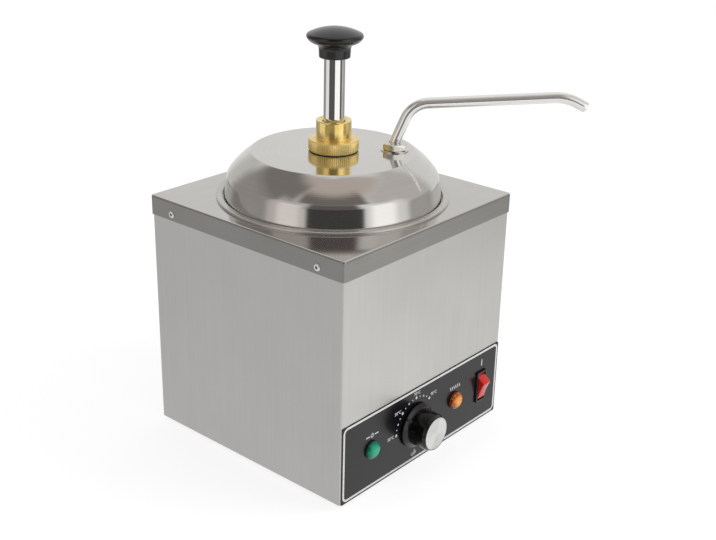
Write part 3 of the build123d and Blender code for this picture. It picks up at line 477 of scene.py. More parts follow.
def arc(centre: Sequence[float], radius: float, start: float, end: float, steps: int) -> list[Point]:
    """Gives points on an arc, its ends included.

    Args:
        centre: the arc's centre.
        radius: its radius.
        start: first angle in degrees.
        end: last angle in degrees.
        steps: number of spans.

    Returns:
        The points.
    """
    angles = [radians(start + (end - start) * k / steps) for k in range(steps + 1)]
    return [(centre[0] + radius * cos(a), centre[1] + radius * sin(a)) for a in angles]


def bow(start: Sequence[float], middle: Sequence[float], end: Sequence[float], steps: int) -> list[Point]:
    """Gives points on the arc that runs from one point through a second to a third.

    Args:
        start: first point.
        middle: a point on the way.
        end: last point.
        steps: number of spans.

    Returns:
        The points after the first.
    """
    a, b, c = Vector(start), Vector(middle), Vector(end)
    ab, ac = b - a, c - a
    cross = 2 * (ab.x * ac.y - ab.y * ac.x)
    centre = a + Vector((ac.y * ab.length_squared - ab.y * ac.length_squared,
                         ab.x * ac.length_squared - ac.x * ab.length_squared)) / cross
    first = atan2(a.y - centre.y, a.x - centre.x)
    turn_by = (atan2(c.y - centre.y, c.x - centre.x) - first) % copysign(2 * pi, cross)
    radius = (a - centre).length
    angles = [first + turn_by * k / steps for k in range(1, steps + 1)]
    return [(centre.x + radius * cos(t), centre.y + radius * sin(t)) for t in angles]


def around(count: int, twist: float = 0.0) -> list[float]:
    """Gives evenly spaced directions in radians, turned by a share of a step."""
    return [2 * pi * (k + twist) / count for k in range(count)]


def circle(radius: float, height: float, angles: Iterable[float]) -> list[Corner]:
    """Gives the points of a level circle in these directions."""
    return [(radius * cos(a), radius * sin(a), height) for a in angles]


def spun(turned: float, axis: str = "Z") -> Matrix:
    """Gives a turn by degrees about an axis through the origin."""
    return Matrix.Rotation(radians(turned), 4, axis)


def face_front(x: float, z: float = CONTROL_Z) -> Matrix:
    """Gives the place of a piece modelled along +Z that faces out of the casing's front."""
    return Matrix(((1, 0, 0, x), (0, 0, -1, FRONT_Y), (0, 1, 0, z), (0, 0, 0, 1)))


def to_mesh(name: str, verts: Sequence[Sequence[float]], faces: Sequence[Sequence[int]],
            place: Matrix = UPRIGHT, sharp: float = 32.0) -> Mesh:
    """Makes a clean mesh in metres from corners in millimetres.

    Args:
        name: the mesh's name.
        verts: corners in millimetres.
        faces: corner numbers of each face.
        place: where the corners go, in millimetres.
        sharp: edges that turn more than this many degrees stay sharp.

    Returns:
        The mesh.
    """
    mesh = bpy.data.meshes.new(name)
    mesh.from_pydata([(place @ Vector(v)) * MM for v in verts], [], faces)
    work = bmesh.new()
    work.from_mesh(mesh)
    bmesh.ops.remove_doubles(work, verts=work.verts, dist=1e-7)
    bmesh.ops.recalc_face_normals(work, faces=work.faces)
    work.to_mesh(mesh)
    work.free()
    mesh.shade_smooth()
    mesh.set_sharp_from_angle(angle=radians(sharp))
    return mesh


def put(mesh: Mesh, finish: Surface, body: str,
        stands_for: Iterable[str] = ()) -> bpy.types.Object:
    """Makes a piece of a mesh and sets it on its body.

    Args:
        mesh: the piece's mesh, in the row frame.
        finish: its surface.
        body: the body that it moves with.
        stands_for: the nodes that it replaces.

    Returns:
        The piece.
    """
    made = bpy.data.objects.new(mesh.name, mesh)
    bpy.context.scene.collection.objects.link(made)
    mesh.materials.append(finish.material())
    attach(made, body)
    nodes = tuple(stands_for)
    if nodes:
        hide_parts(*nodes)
    LOG.info("%s on %s, %d faces", made.name, body, len(mesh.polygons))
    return made


def dress(finish: Surface, *nodes: str) -> None:
    """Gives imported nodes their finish.

    Args:
        finish: the surface.
        nodes: the nodes' names.
    """
    for name in nodes:
        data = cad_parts[name].data
        data.materials.clear()
        data.materials.append(finish.material())
        LOG.info("%s is %s", name, finish.name)


def braced(rows: Sequence[Sequence[Sequence[float]]], ring: bool, hold: float = 0.3) -> list[list]:
    """Adds a row near both ends of each long span, so that a rounded edge doesn't shade the flat beside it.

    Args:
        rows: loops with the same number of points, or an outline as rows of one point.
        ring: whether the last row joins the first.
        hold: distance of the added rows from the ends.

    Returns:
        The rows with those added.
    """
    out: list[list] = []
    for i, row in enumerate(rows):
        out.append(list(row))
        if i == len(rows) - 1 and not ring:
            break
        pairs = [(Vector(a), Vector(b)) for a, b in zip(row, rows[(i + 1) % len(rows)])]
        if min((b - a).length for a, b in pairs) > 5 * hold:
            out.append([tuple(a + (b - a).normalized() * hold) for a, b in pairs])
            out.append([tuple(b + (a - b).normalized() * hold) for a, b in pairs])
    return out


def turn(name: str, outline: Outline, segments: int = 96, ring: bool = False, place: Matrix = UPRIGHT,
         sharp: float = 32.0) -> Mesh:
    """Turns an outline about the local Z axis.

    Args:
        name: the mesh's name.
        outline: (radius, height) points, from axis to axis or once round a ring's section.
        segments: steps round the axis.
        ring: whether the outline is a closed section clear of the axis.
        place: where the turned piece goes.
        sharp: angle that keeps an edge sharp.

    Returns:
        The mesh.
    """
    verts: list[Corner] = []
    rows: list[list[int]] = []
    for radius, height in (row[0] for row in braced([[point[:2]] for point in outline], ring)):
        if radius < 1e-6:
            rows.append([len(verts)] * segments)
            verts.append((0.0, 0.0, height))
            continue
        rows.append(list(range(len(verts), len(verts) + segments)))
        verts += circle(radius, height, around(segments))
    faces = []
    for i in range(len(rows) if ring else len(rows) - 1):
        low, high = rows[i], rows[(i + 1) % len(rows)]
        for k in range(segments):
            n = (k + 1) % segments
            corners = list(dict.fromkeys((low[k], low[n], high[n], high[k])))
            if len(corners) > 2:
                faces.append(corners)
    return to_mesh(name, verts, faces, place, sharp)


def stack(name: str, loops: Sequence[Sequence[Sequence[float]]], ring: bool = False, caps: bool = False,
          place: Matrix = UPRIGHT, sharp: float = 32.0, brace: bool = False) -> Mesh:
    """Skins a row of loops that have the same number of points.

    Args:
        name: the mesh's name.
        loops: the loops, each a closed run of 3-D points.
        ring: whether the last loop joins the first.
        caps: whether the first and last loops are filled.
        place: where the piece goes.
        sharp: angle that keeps an edge sharp.
        brace: whether long spans get a row near both ends.

    Returns:
        The mesh.
    """
    loops = braced(loops, ring) if brace else loops
    count = len(loops[0])
    verts = [point for loop in loops for point in loop]
    faces: list[list[int]] = []
    for i in range(len(loops) if ring else len(loops) - 1):
        low, high = i * count, ((i + 1) % len(loops)) * count
        faces += [[low + k, low + (k + 1) % count, high + (k + 1) % count, high + k] for k in range(count)]
    if caps:
        faces += [list(range(count)), list(range(len(verts) - count, len(verts)))]
    return to_mesh(name, verts, faces, place, sharp)


def joined(name: str, parts: Sequence[Mesh]) -> Mesh:
    """Joins meshes into one and removes them.

    Args:
        name: the new mesh's name.
        parts: meshes in metres.

    Returns:
        The mesh.
    """
    verts, faces = [], []
    for part in parts:
        start = len(verts)
        verts += [tuple(v.co / MM) for v in part.vertices]
        faces += [[start + k for k in face.vertices] for face in part.polygons]
        bpy.data.meshes.remove(part)
    return to_mesh(name, verts, faces)


def band(line: Sequence[Sequence[float]], width: float, low: float, high: float,
         closed: bool = False) -> tuple[list[Corner], list[list[int]]]:
    """Draws a flat strip of ink along a line.

    Args:
        line: points of the strip's middle.
        width: its width.
        low: height of its underside.
        high: height of its face.
        closed: whether the line closes on itself.

    Returns:
        Corners and faces.
    """
    verts: list[Corner] = []
    count = len(line)
    for i, point in enumerate(line):
        here = Vector(point[:2])
        before = Vector(line[i - 1][:2]) if closed or i else here
        after = Vector(line[(i + 1) % count][:2]) if closed or i < count - 1 else here
        way = (after - before).normalized()
        side = Vector((-way.y, way.x)) * width / 2
        for edge, height in ((side, low), (side, high), (-side, high), (-side, low)):
            verts.append((here.x + edge.x, here.y + edge.y, height))
    faces = []
    for i in range(count if closed else count - 1):
        a, b = 4 * i, 4 * ((i + 1) % count)
        faces += [[a + k, a + (k + 1) % 4, b + (k + 1) % 4, b + k] for k in range(4)]
    if not closed:
        faces += [[0, 1, 2, 3], [len(verts) - 4 + k for k in range(4)]]
    return verts, faces


def square_loop(half: float, corner: float, height: float, angles: Sequence[float]) -> list[Corner]:
    """Gives the points of a rounded square where rays from its middle leave it.

    Args:
        half: half of the square's width.
        corner: radius of its corners.
        height: Z of every point.
        angles: the rays' directions in radians.

    Returns:
        One point for each ray.
    """
    out = []
    for a in angles:
        c, s = cos(a), sin(a)
        reach = half / max(abs(c), abs(s))
        x, y = abs(c) * reach, abs(s) * reach
        inner = half - corner
        if corner > 0 and x > inner and y > inner:
            mid = inner * (abs(c) + abs(s))
            reach = mid + sqrt(mid * mid - 2 * inner * inner + corner * corner)
        out.append((c * reach, s * reach, height))
    return out


# ---------------------------------------------------------------- cabinet
@dataclass
class Cabinet:
    """The steel casing, the pan on top, the back, the base and what fastens them."""

    plate_half: float = 111.3
    plate_corner: float = 3.0
    plate_top: float = PLATE_TOP
    lip_low: float = 204.7
    edge_round: float = 1.5
    sheet: float = 1.0
    hole_r: float = 96.4
    rivet_spread: float = 84.0
    rivet_z: float = 210.4
    foot_spread: float = 82.0

    def angles(self) -> list[float]:
        """Gives ray directions, close together where they cross the plate's corners."""
        out: list[float] = []
        for quarter in range(4):
            start = -pi / 4 + quarter * pi / 2
            near = [0.0, 0.35, 0.7, 1.05, 1.35]     # degrees from the corner's own ray
            out += [start + radians(d) for d in near]
            steps = 26
            first, last = radians(1.6), radians(88.4)
            out += [start + first + (last - first) * k / steps for k in range(steps + 1)]
            out += [start + radians(90 - d) for d in reversed(near[1:])]
        return out

    def top_plate(self) -> None:
        """Builds the pan: a flat top with a round hole, rolled edges and turned-down lips."""
        angles = self.angles()
        half, corner, top = self.plate_half, self.plate_corner, self.plate_top
        loops = [circle(self.hole_r, top, angles)]
        for tilt in range(0, 91, 15):
            out = self.edge_round * (1 - sin(radians(tilt)))
            drop = self.edge_round * (1 - cos(radians(tilt)))
            loops.append(square_loop(half - out, corner - out, top - drop, angles))
        sheet = self.sheet
        for inset, height in ((0.0, self.lip_low), (sheet, self.lip_low), (sheet, top - sheet)):
            loops.append(square_loop(half - inset, corner - inset, height, angles))
        loops.append(circle(self.hole_r, top - sheet, angles))
        pan = put(stack("top_pan", loops, ring=True, brace=True), BRUSHED_PAN, "cabinet",
                  ["top_plate"])
        # The upright faces, the lips, take the darker sheet: painted shade.
        pan.data.materials.append(LIP_SHEET_PAINTED_SHADE.material())
        for face in pan.data.polygons:
            face.material_index = int(abs(face.normal.z) < 0.4)

    def rivets(self) -> None:
        """Builds the blind rivets of the lips, each with its pulled stem down the hole."""
        dome = rounded([(1.35, 0.1), (1.35, 1.15, 0.15), (2.7, 1.1, 1.2), (3.3, 0.0, 0.2), (1.6, 0.0)])
        outline = [(0.0, -2.6), (1.6, -2.6), (1.6, 0.0)] + dome[-2::-1] + [(1.2, -1.9), (0.0, -1.9)]
        spread = (-self.rivet_spread, self.rivet_spread)
        places = [(sx * self.plate_half, y, 90 * sx, 0) for sx in (-1, 1) for y in spread]
        places += [(x, self.plate_half, 0, -90) for x in spread]
        heads = []
        for x, y, about_y, about_x in places:
            place = Matrix.Translation((x, y, self.rivet_z)) @ spun(about_y, "Y") @ spun(about_x, "X")
            heads.append(turn("rivet", outline, 40, place=place))
        put(joined("lip_rivet_heads", heads), TUMBLED_ALUMINIUM, "cabinet", ["lip_rivets"])

    def feet(self) -> None:
        """Builds the moulded rubber feet."""
        outline = rounded([(0, 0), (8.0, 0, 0.6), (9.0, 6.0), (2.55, 6.0), (2.55, 3.0), (0, 3.0)])
        corners = [(sx * self.foot_spread, sy * self.foot_spread, 0) for sx in (-1, 1) for sy in (-1, 1)]
        feet = [turn("foot", outline, 48, place=Matrix.Translation(corner)) for corner in corners]
        put(joined("moulded_feet", feet), NITRILE, "cabinet", ["rubber_feet"])

    def build(self) -> None:
        """Builds and dresses the cabinet."""
        self.top_plate()
        self.rivets()
        self.feet()
        dress(BRUSHED_SHEET, "casing", "back_panel", "base_plate")
        dress(ZINC_PLATE, "back_screws", "base_screws", "foot_bolts")
        dress(NYLON_HOUSING, "cable_gland")


# ---------------------------------------------------------------- control panel
@dataclass
class ControlPanel:
    """The printed film on the lower front: border line, dial marks and symbols."""

    ink_low: float = 0.79
    ink_high: float = 0.86
    dial_x: float = DIAL_X
    dots_r: float = 26.2            # radius of the run of dots round the dial
    # Each number by the dial, with the middle of where it is printed.
    labels: tuple[tuple[str, float, float], ...] = (
        ("30", -46.9, 41.2), ("50", -38.2, 62.2), ("70", -12.4, 71.1), ("90", 11.4, 62.2))
    label_size: float = 4.1
    off_at: Point = (-14.0, 12.2)
    off_size: float = 4.2
    power_sign: Point = (POWER_LAMP_X, 55.6)
    heat_sign: Point = (HEATING_LAMP_X, 55.2)
    on_mark: Point = (83.6, 64.6)

    def ink(self, name: str, parts: Sequence[tuple[list, list]], x: float = 0.0,
            z: float = CONTROL_Z) -> None:
        """Prints strips and dots as one piece.

        Args:
            name: the piece's name.
            parts: corners and faces of each strip.
            x: where the drawing's middle goes.
            z: the same, in height.
        """
        verts, faces = [], []
        for part_verts, part_faces in parts:
            start = len(verts)
            verts += part_verts
            faces += [[start + k for k in face] for face in part_faces]
        put(to_mesh(name, verts, faces, face_front(x, z)), SCREEN_INK, "cabinet")

    def border(self) -> None:
        """Prints the rounded line round the panel."""
        low, high, side, corner = 7.5, 75.2, 106.8, 4.4
        corners = [(-side, low, corner), (side, low, corner), (side, high, corner), (-side, high, corner)]
        line = rounded(corners, closed=True, step=6.0)
        self.ink("panel_border_line", [band(line, 2.0, self.ink_low, self.ink_high, closed=True)], 0.0, 0.0)

    def dial_dots(self) -> None:
        """Prints the run of dots that the pointer passes, larger at each number."""
        sizes = (1.3, 0.65, 0.9, 0.65)
        spans, sweep, sides = 12, 135.0, 24
        parts = []
        for step in range(spans + 1):
            a = radians(180 - step * sweep / spans)
            middle = (self.dots_r * cos(a), self.dots_r * sin(a))
            loop = arc(middle, sizes[step % 4], 0, 345, sides - 1)
            verts = [(x, y, h) for h in (self.ink_low, self.ink_high) for x, y in loop]
            faces = [[k, (k + 1) % sides, sides + (k + 1) % sides, sides + k] for k in range(sides)]
            parts.append((verts, faces + [list(range(sides)), list(range(sides, 2 * sides))]))
        off = [(0, -self.dots_r - 0.6), (0, -self.dots_r + 1.4)]
        parts.append(band(off, 1.0, self.ink_low, self.ink_high))
        self.ink("dial_dots", parts, self.dial_x)

    def letters(self, name: str, text: str, size: float, x: float, z: float) -> None:
        """Prints figures or plain letters, centred on a point.

        Args:
            name: the piece's name.
            text: what to print.
            size: height of the letters' body.
            x: middle of the text.
            z: the same, in height.
        """
        curve = bpy.data.curves.new(name, "FONT")
        curve.body, curve.size = text, size
        curve.align_x, curve.align_y = "CENTER", "CENTER"
        curve.extrude = (self.ink_high - self.ink_low) / 2
        curve.offset = 0.03
        holder = bpy.data.objects.new(name + "_curve", curve)
        bpy.context.scene.collection.objects.link(holder)
        bpy.context.view_layer.update()
        flat = bpy.data.meshes.new_from_object(holder.evaluated_get(bpy.context.evaluated_depsgraph_get()))
        bpy.data.objects.remove(holder)
        lift = (self.ink_low + self.ink_high) / 2
        verts = [(v.co.x, v.co.y, v.co.z + lift) for v in flat.vertices]
        faces = [list(face.vertices) for face in flat.polygons]
        put(to_mesh(name, verts, faces, face_front(x, z)), SCREEN_INK, "cabinet")

    def symbols(self) -> None:
        """Prints a power sign, a heat sign and an on mark above the lamps and the switch."""
        low, high = self.ink_low, self.ink_high
        ring = band(arc((0, 0), 1.6, 130, 410, 22), 0.7, low, high)
        stem = band([(0, 0.3), (0, 2.4)], 0.7, low, high)
        dashes = [band([(sx * 3.2, 0), (sx * 8.0, 0)], 1.0, low, high) for sx in (-1, 1)]
        self.ink("power_sign", [ring, stem, *dashes], *self.power_sign)
        waves = []
        for number in range(6):
            offset = 2.6 * (number - 2.5)
            line = [(offset + 0.45 * sin(k * pi / 6), -1.7 + 3.4 * k / 12) for k in range(13)]
            waves.append(band(line, 0.8, low, high))
        self.ink("heat_sign", waves, *self.heat_sign)
        self.ink("on_mark", [band([(0, -3.2), (0, 3.2)], 1.1, low, high)], *self.on_mark)

    def build(self) -> None:
        """Prints the panel."""
        dress(FILM, "control_overlay")
        self.border()
        self.dial_dots()
        for text, x, z in self.labels:
            self.letters(f"dial_number_{text}", text + "\u00b0C", self.label_size, x, z)
        self.letters("dial_off", "OFF", self.off_size, *self.off_at)
        self.symbols()


@dataclass
class PilotLamp:
    """The tinted lens of a pilot lamp, domed or faceted."""

    name: str
    node: str
    x: float
    finish: TintedLens
    slot: str
    faceted: bool
    z: float = LAMP_Z
    radius: float = LENS_R
    seat: float = 1.6

    def dome(self) -> Mesh:
        """Builds a round dome on a short wall."""
        r, top = self.radius, 5.9
        outline = [(0, -6), (5.3, -6), (5.3, self.seat), (r, self.seat), (r, 2.9)]
        outline += bow((r, 2.9), (r - 2.4, 4.9), (0.0, top), 14)
        return turn(self.name, outline, 64, place=face_front(self.x, self.z))

    def facets(self) -> Mesh:
        """Builds rings of flat facets, each ring turned half a step on the last."""
        count, r = 12, self.radius
        rings = ((5.3, -6.0, 0.0), (5.3, self.seat, 0.0), (r, self.seat, 0.0), (r, 3.4, 0.0),
                 (r - 1.6, 5.2, 0.5), (r - 4.2, 6.5, 0.0))
        verts = []
        for radius, height, twist in rings:
            verts += circle(radius, height, around(count, twist))
        faces: list[list[int]] = [list(range(count))]
        # The two sloping bands, the fourth and the fifth, are triangles, so that each facet is flat.
        for i in range(len(rings) - 1):
            a, b = i * count, (i + 1) * count
            for k in range(count):
                n = (k + 1) % count
                if i == 3:
                    faces += [[a + k, a + n, b + k], [a + n, b + n, b + k]]
                elif i == 4:
                    faces += [[a + k, b + n, b + k], [a + k, a + n, b + n]]
                else:
                    faces.append([a + k, a + n, b + n, b + k])
        last = (len(rings) - 1) * count
        faces += [[last + k, last + (k + 1) % count, len(verts)] for k in range(count)]
        verts.append((0.0, 0.0, 6.9))
        return to_mesh(self.name, verts, faces, face_front(self.x, self.z), sharp=5.0)

    def build(self) -> None:
        """Builds the lens."""
        mesh = self.facets() if self.faceted else self.dome()
        put(mesh, self.finish, "cabinet", [self.node])


@dataclass
class LampBezels:
    """The moulded barrels of both lamps, each with a thin flange."""

    places: Point = (POWER_LAMP_X, HEATING_LAMP_X)
    z: float = LAMP_Z

    def build(self) -> None:
        """Builds both barrels as one piece."""
        outline = rounded([(0, -22), (6.4, -22, 0.6), (6.4, 0.82), (8.2, 0.82, 0.1), (8.2, 1.6, 0.35),
                           (5.4, 1.6), (5.4, -16), (0, -16)])
        barrels = [turn("barrel", outline, 56, place=face_front(x, self.z)) for x in self.places]
        put(joined("lamp_bezels", barrels), NYLON_BEZEL, "cabinet", ["lamp_housings"])


@dataclass
class RockerSwitch:
    """The mains switch: a black bezel and a roof-shaped red rocker."""

    x: float = 83.0
    width: float = 10.0
    pivot: float = -4.0
    tilt: float = 12.0

    def rocker(self) -> None:
        """Builds the rocker with a soft ridge and rolled edges, tipped into its off position."""
        side = self.width / 2
        outline = [(-12.5, 0.6)] + bow((-12.5, 0.6), (-5.5, 4.2), (1.5, 9.0), 12)
        outline += bow((1.5, 9.0), (2.5, 9.5), (3.5, 9.1), 6)
        outline += rounded([(3.5, 9.1), (12.0, 2.0, 0.5), (11.0, -3.0, 1.5), (4.0, -8.5, 1.5),
                            (-4.0, -8.5, 1.5), (-11.0, -3.0, 1.5), (-12.5, 0.6)], step=20.0)[1:-1]
        middle = Vector((0.0, 0.6))
        # How far in from the side each loop of the rolled edge lies, and how much smaller it is.
        roll = ((0.0, 0.6), (0.06, 0.34), (0.24, 0.12), (0.6, 0.0))
        spots = [(inset - side, shrink) for inset, shrink in roll]
        spots += [(side - inset, shrink) for inset, shrink in reversed(roll)]
        loops = []
        for reach, shrink in spots:
            loop = []
            for y, z in outline:
                way = Vector((y, z)) - middle
                point = middle + way * (1 - shrink / way.length)
                loop.append((reach, point.x, point.y))
            loops.append(loop)
        pivot = Matrix.Translation((0, 0, self.pivot))
        lean = pivot @ spun(-self.tilt, "X") @ pivot.inverted()
        mesh = stack("red_rocker", loops, caps=True, place=face_front(self.x) @ lean, sharp=40.0)
        put(mesh, RED_ROCKER, "rocker", ["rocker"])

    def build(self) -> None:
        """Builds the switch."""
        self.rocker()
        dress(NYLON_BEZEL, "switch_housing")


@dataclass
class Dial:
    """The thermostat's knob, its spun insert and its spindle."""

    x: float = DIAL_X
    face: float = 23.8
    pointer: float = 142.0

    def knob(self) -> None:
        """Builds the skirted knob and the pointer rib on its skirt."""
        outline = rounded([(0, 3.4), (18.7, 3.4), (18.7, 1.6), (20.4, 1.6, 0.3), (20.4, 3.4, 0.6),
                           (16.7, 5.6, 1.5), (16.2, self.face - 3.0, 0.5), (15.0, self.face, 0.15),
                           (14.7, self.face, 0.1), (14.7, self.face - 0.9), (0, self.face - 0.9)], step=8.0)
        put(turn("dial_knob", outline, 128, place=face_front(self.x)), ABS_KNOB, "dial",
            ["thermostat_knob"])
        section = ((14.2, 7.2), (16.4, 7.15), (19.6, 4.8), (20.1, 4.3), (20.1, 3.6), (14.2, 3.6))
        # The rib's long edges are bevelled: its outer loops lie lower.
        loops = [[(r, w, h - drop) for r, h in section]
                 for w, drop in ((-1.1, 0.25), (-0.8, 0.0), (0.8, 0.0), (1.1, 0.25))]
        place = face_front(self.x) @ spun(self.pointer)
        put(stack("dial_pointer", loops, caps=True, place=place, sharp=25.0), ABS_KNOB, "dial")

    def insert(self) -> None:
        """Builds the spun disc, very slightly dished, with a rolled edge."""
        front = self.face - 0.1
        outline = rounded([(0, front - 0.8), (14.6, front - 0.8), (14.6, front, 0.3), (14.0, front + 0.02),
                           (0, front - 0.12)], step=15.0)
        put(turn("dial_insert", outline, 128, place=face_front(self.x)), SPUN_ALUMINIUM, "dial",
            ["knob_insert"])

    def build(self) -> None:
        """Builds the dial."""
        self.knob()
        self.insert()
        dress(TURNED_BRASS, "thermostat_spindle")


# ---------------------------------------------------------------- pot, lid and pump
@dataclass
class Pot:
    """The drawn inset pot with its rolled rim."""

    wall_r: float = 86.0
    rim_r: float = 101.2
    plate_top: float = PLATE_TOP
    seat: float = 221.0

    def build(self) -> None:
        """Builds the pot."""
        out, top = self.wall_r + 1, self.plate_top + 2.1
        outline = rounded([(0, 92), (out, 92, 13), (out, self.seat - 1, 0.8), (96.0, self.seat - 1, 0.6),
                           (96.0, self.plate_top, 0.5), (self.rim_r, self.plate_top, 0.15),
                           (self.rim_r, top, 1.7), (95.0, top, 1.5), (95.0, self.seat, 0.35),
                           (self.wall_r, self.seat, 0.8), (self.wall_r, 93, 12), (0, 93)], step=7.0)
        put(turn("pot_drawn", outline, 192), DRAWN_POT, "pot", ["inset_pot"])
        dress(DRAWN_POT, "water_well")


@dataclass
class Lid:
    """The spun lid, the gasket and washer on it, and the gland of the spout."""

    edge_r: float = 94.5
    crease_r: float = 91.5
    crease_z: float = 241.2
    crown: float = 1.4              # how far the shoulder swells
    bend: float = 12.0              # outside radius where the shoulder rolls into the wall
    flat_r: float = 70.4
    top: float = 261.7
    foot: float = 221.0
    hole_r: float = 15.5
    gland_r: float = 52.6
    gland_angle: float = SPOUT_ANGLE
    washer_r: float = 12.3
    washer_bore: float = 6.45
    washer_top: float = 262.6

    def gland(self) -> Matrix:
        """Gives the place of the spout's gland."""
        a = radians(self.gland_angle)
        return Matrix.Translation((self.gland_r * cos(a), self.gland_r * sin(a), 0))

    def shell(self) -> None:
        """Builds the lid's sheet, inside and out."""
        outer = [(self.hole_r, self.top)] + self.skin(0.0)
        inner = list(reversed(self.skin(1.0))) + [(self.hole_r, self.top - 1)]
        section = rounded(outer + inner, closed=True, step=4.0)
        put(turn("lid_spun", section, 256, ring=True, sharp=40.0), BUFFED_LID, "lid", ["lid"])

    def skin(self, inset: float) -> list[tuple[float, ...]]:
        """Gives one face of the sheet: the crowned shoulder, the wide bend and the wall.

        Args:
            inset: how far inside the outer face to draw it.

        Returns:
            Points from the edge of the flat to the foot, the first with its bend radius.
        """
        start = Vector((self.flat_r - inset * 0.4, self.top - inset))
        crease = Vector((self.crease_r - inset, self.crease_z - inset * 0.4))
        foot = Vector((self.edge_r - inset, self.foot))
        bend = self.bend - inset
        half = (crease - start).length / 2
        along = (crease - start).normalized()
        out = Vector((-along.y, along.x))
        big_r = (half ** 2 + self.crown ** 2) / (2 * self.crown)
        middle = start + along * half - out * (big_r - self.crown)
        wall = (foot - crease).normalized()
        inward = Vector((wall.y, -wall.x))
        gap = crease + inward * bend - middle
        lean = gap.dot(wall)
        down = -lean - sqrt(lean ** 2 - gap.length_squared + (big_r - bend) ** 2)
        hub = crease + wall * down + inward * bend
        swing = (hub - middle).normalized()
        first = degrees(atan2(start.y - middle.y, start.x - middle.x))
        turned = degrees(atan2(swing.y, swing.x))
        last = degrees(atan2(-inward.y, -inward.x))
        points: list[tuple[float, ...]] = [(start.x, start.y, 1.2)]
        points += arc(middle, big_r, first, turned, 14)[1:]
        points += arc(hub, bend, turned, last, 14)[1:]
        return points + [(foot.x, foot.y)]

    def build(self) -> None:
        """Builds the lid."""
        self.shell()
        dress(NITRILE, "ring_gasket", "collar_gasket")
        place = self.gland()
        washer = rounded([(self.washer_bore, self.top), (self.washer_r, self.top, 0.12),
                          (self.washer_r, self.washer_top, 0.3), (self.washer_bore, self.washer_top)],
                         closed=True)
        put(turn("spout_washer_flat", washer, 96, ring=True, place=place), NICKEL_PLATE, "lid",
            ["spout_washer"])
        dress(NICKEL_PLATE, "spout_gland", "spout_ferrule")


@dataclass
class SpoutNut:
    """The hexagonal nut that clamps the spout."""

    flats: float = 19.0
    low: float = 262.6
    high: float = 268.7
    turned: float = 3.0
    blunt: float = 1.147            # reach of the blunted corners, as a share of half the flats

    def build(self, place: Matrix) -> None:
        """Builds the nut with bevelled corners and a short collar.

        Args:
            place: the gland's place.
        """
        flat, bevel = self.flats / 2, self.flats / 2 - 0.35
        angles = around(96)
        hexagon = [min(flat / cos(radians((degrees(a) % 60) - 30)), flat * self.blunt) for a in angles]
        low, high, bore, shoulder = self.low, self.high, 5.15, 6.4
        loops = [circle(radius, height, angles) for radius, height in (
            (bore, high - 0.9), (bore, high), (5.9, high), (shoulder, high - 0.25), (bevel, high - 0.35))]
        # The bevels run down and up toward the hexagon's corners.
        loops.append([(r * cos(a), r * sin(a), high - 0.35 - (r - bevel) * 0.55)
                      for r, a in zip(hexagon, angles)])
        loops.append([(r * cos(a), r * sin(a), low + (r - bevel) * 0.4)
                      for r, a in zip(hexagon, angles)])
        loops += [circle(radius, height, angles) for radius, height in (
            (bevel, low), (shoulder, low), (shoulder, high - 1.5), (bore, high - 1.5))]
        place = place @ spun(self.turned + 30)
        put(stack("spout_nut_hex", loops, ring=True, place=place, sharp=16.0), NICKEL_PLATE, "lid",
            ["spout_nut"])


@dataclass
class PumpHead:
    """The knurled ring and plain collar round the plunger."""

    ring_r: float = 21.7
    ring_low: float = 262.3
    ring_high: float = 272.4
    knurls: int = 72
    knurl_depth: float = 0.45
    collar_r: float = 15.3
    collar_top: float = 288.6

    def ring(self) -> None:
        """Builds the ring with a straight V knurl that fades into its bevels."""
        each, flank = 8, 0.4        # points to a knurl, and half a groove as a share of it
        count = self.knurls * each
        bore = self.collar_r + 0.1
        rows = [(bore, self.ring_high, 0.0), (19.2, self.ring_high, 0.0), (20.75, self.ring_high - 0.15, 0.0),
                (21.25, self.ring_high - 0.75, 0.3), (self.ring_r, self.ring_high - 1.35, 1.0),
                (self.ring_r, self.ring_low + 1.1, 1.0), (21.3, self.ring_low + 0.6, 0.4),
                (20.9, self.ring_low, 0.0), (bore, self.ring_low, 0.0)]
        loops = []
        for radius, height, cut in rows:
            loop = []
            for k in range(count):
                share = (k % each) / each
                groove = cut * self.knurl_depth * max(0.0, 1 - abs(share - 0.5) / flank)
                a = 2 * pi * k / count
                loop.append(((radius - groove) * cos(a), (radius - groove) * sin(a), height))
            loops.append(loop)
        put(stack("knurled_ring", loops, ring=True, sharp=38.0), KNURLED_BRASS, "lid", ["pump_ring"])

    def collar(self) -> None:
        """Builds the plain collar: its mouth over the bush, its flange and its skirt in the barrel."""
        section = rounded([(9.6, 244), (13.9, 244, 0.4), (13.9, 256.7), (20.5, 256.7, 0.3),
                           (20.5, 259.7, 0.3), (15.3, 259.7), (self.collar_r, self.collar_top, 0.9),
                           (12.2, self.collar_top, 0.5), (9.7, 287.2, 0.3), (9.7, 286.2), (12.8, 286.2),
                           (12.8, 284), (11.6, 284), (11.6, 262), (9.6, 262)], closed=True)
        put(turn("plain_collar", section, 128, ring=True), TURNED_BRASS, "lid", ["pump_collar"])

    def build(self) -> None:
        """Builds the head."""
        self.ring()
        self.collar()
        dress(ACETAL, "guide_bush")
        dress(CAST_BRASS, "foot_valve", "ball_cage")
        dress(BRIGHT_TUBE, "pump_barrel", "riser_tube", "inlet_ball", "outlet_ball")


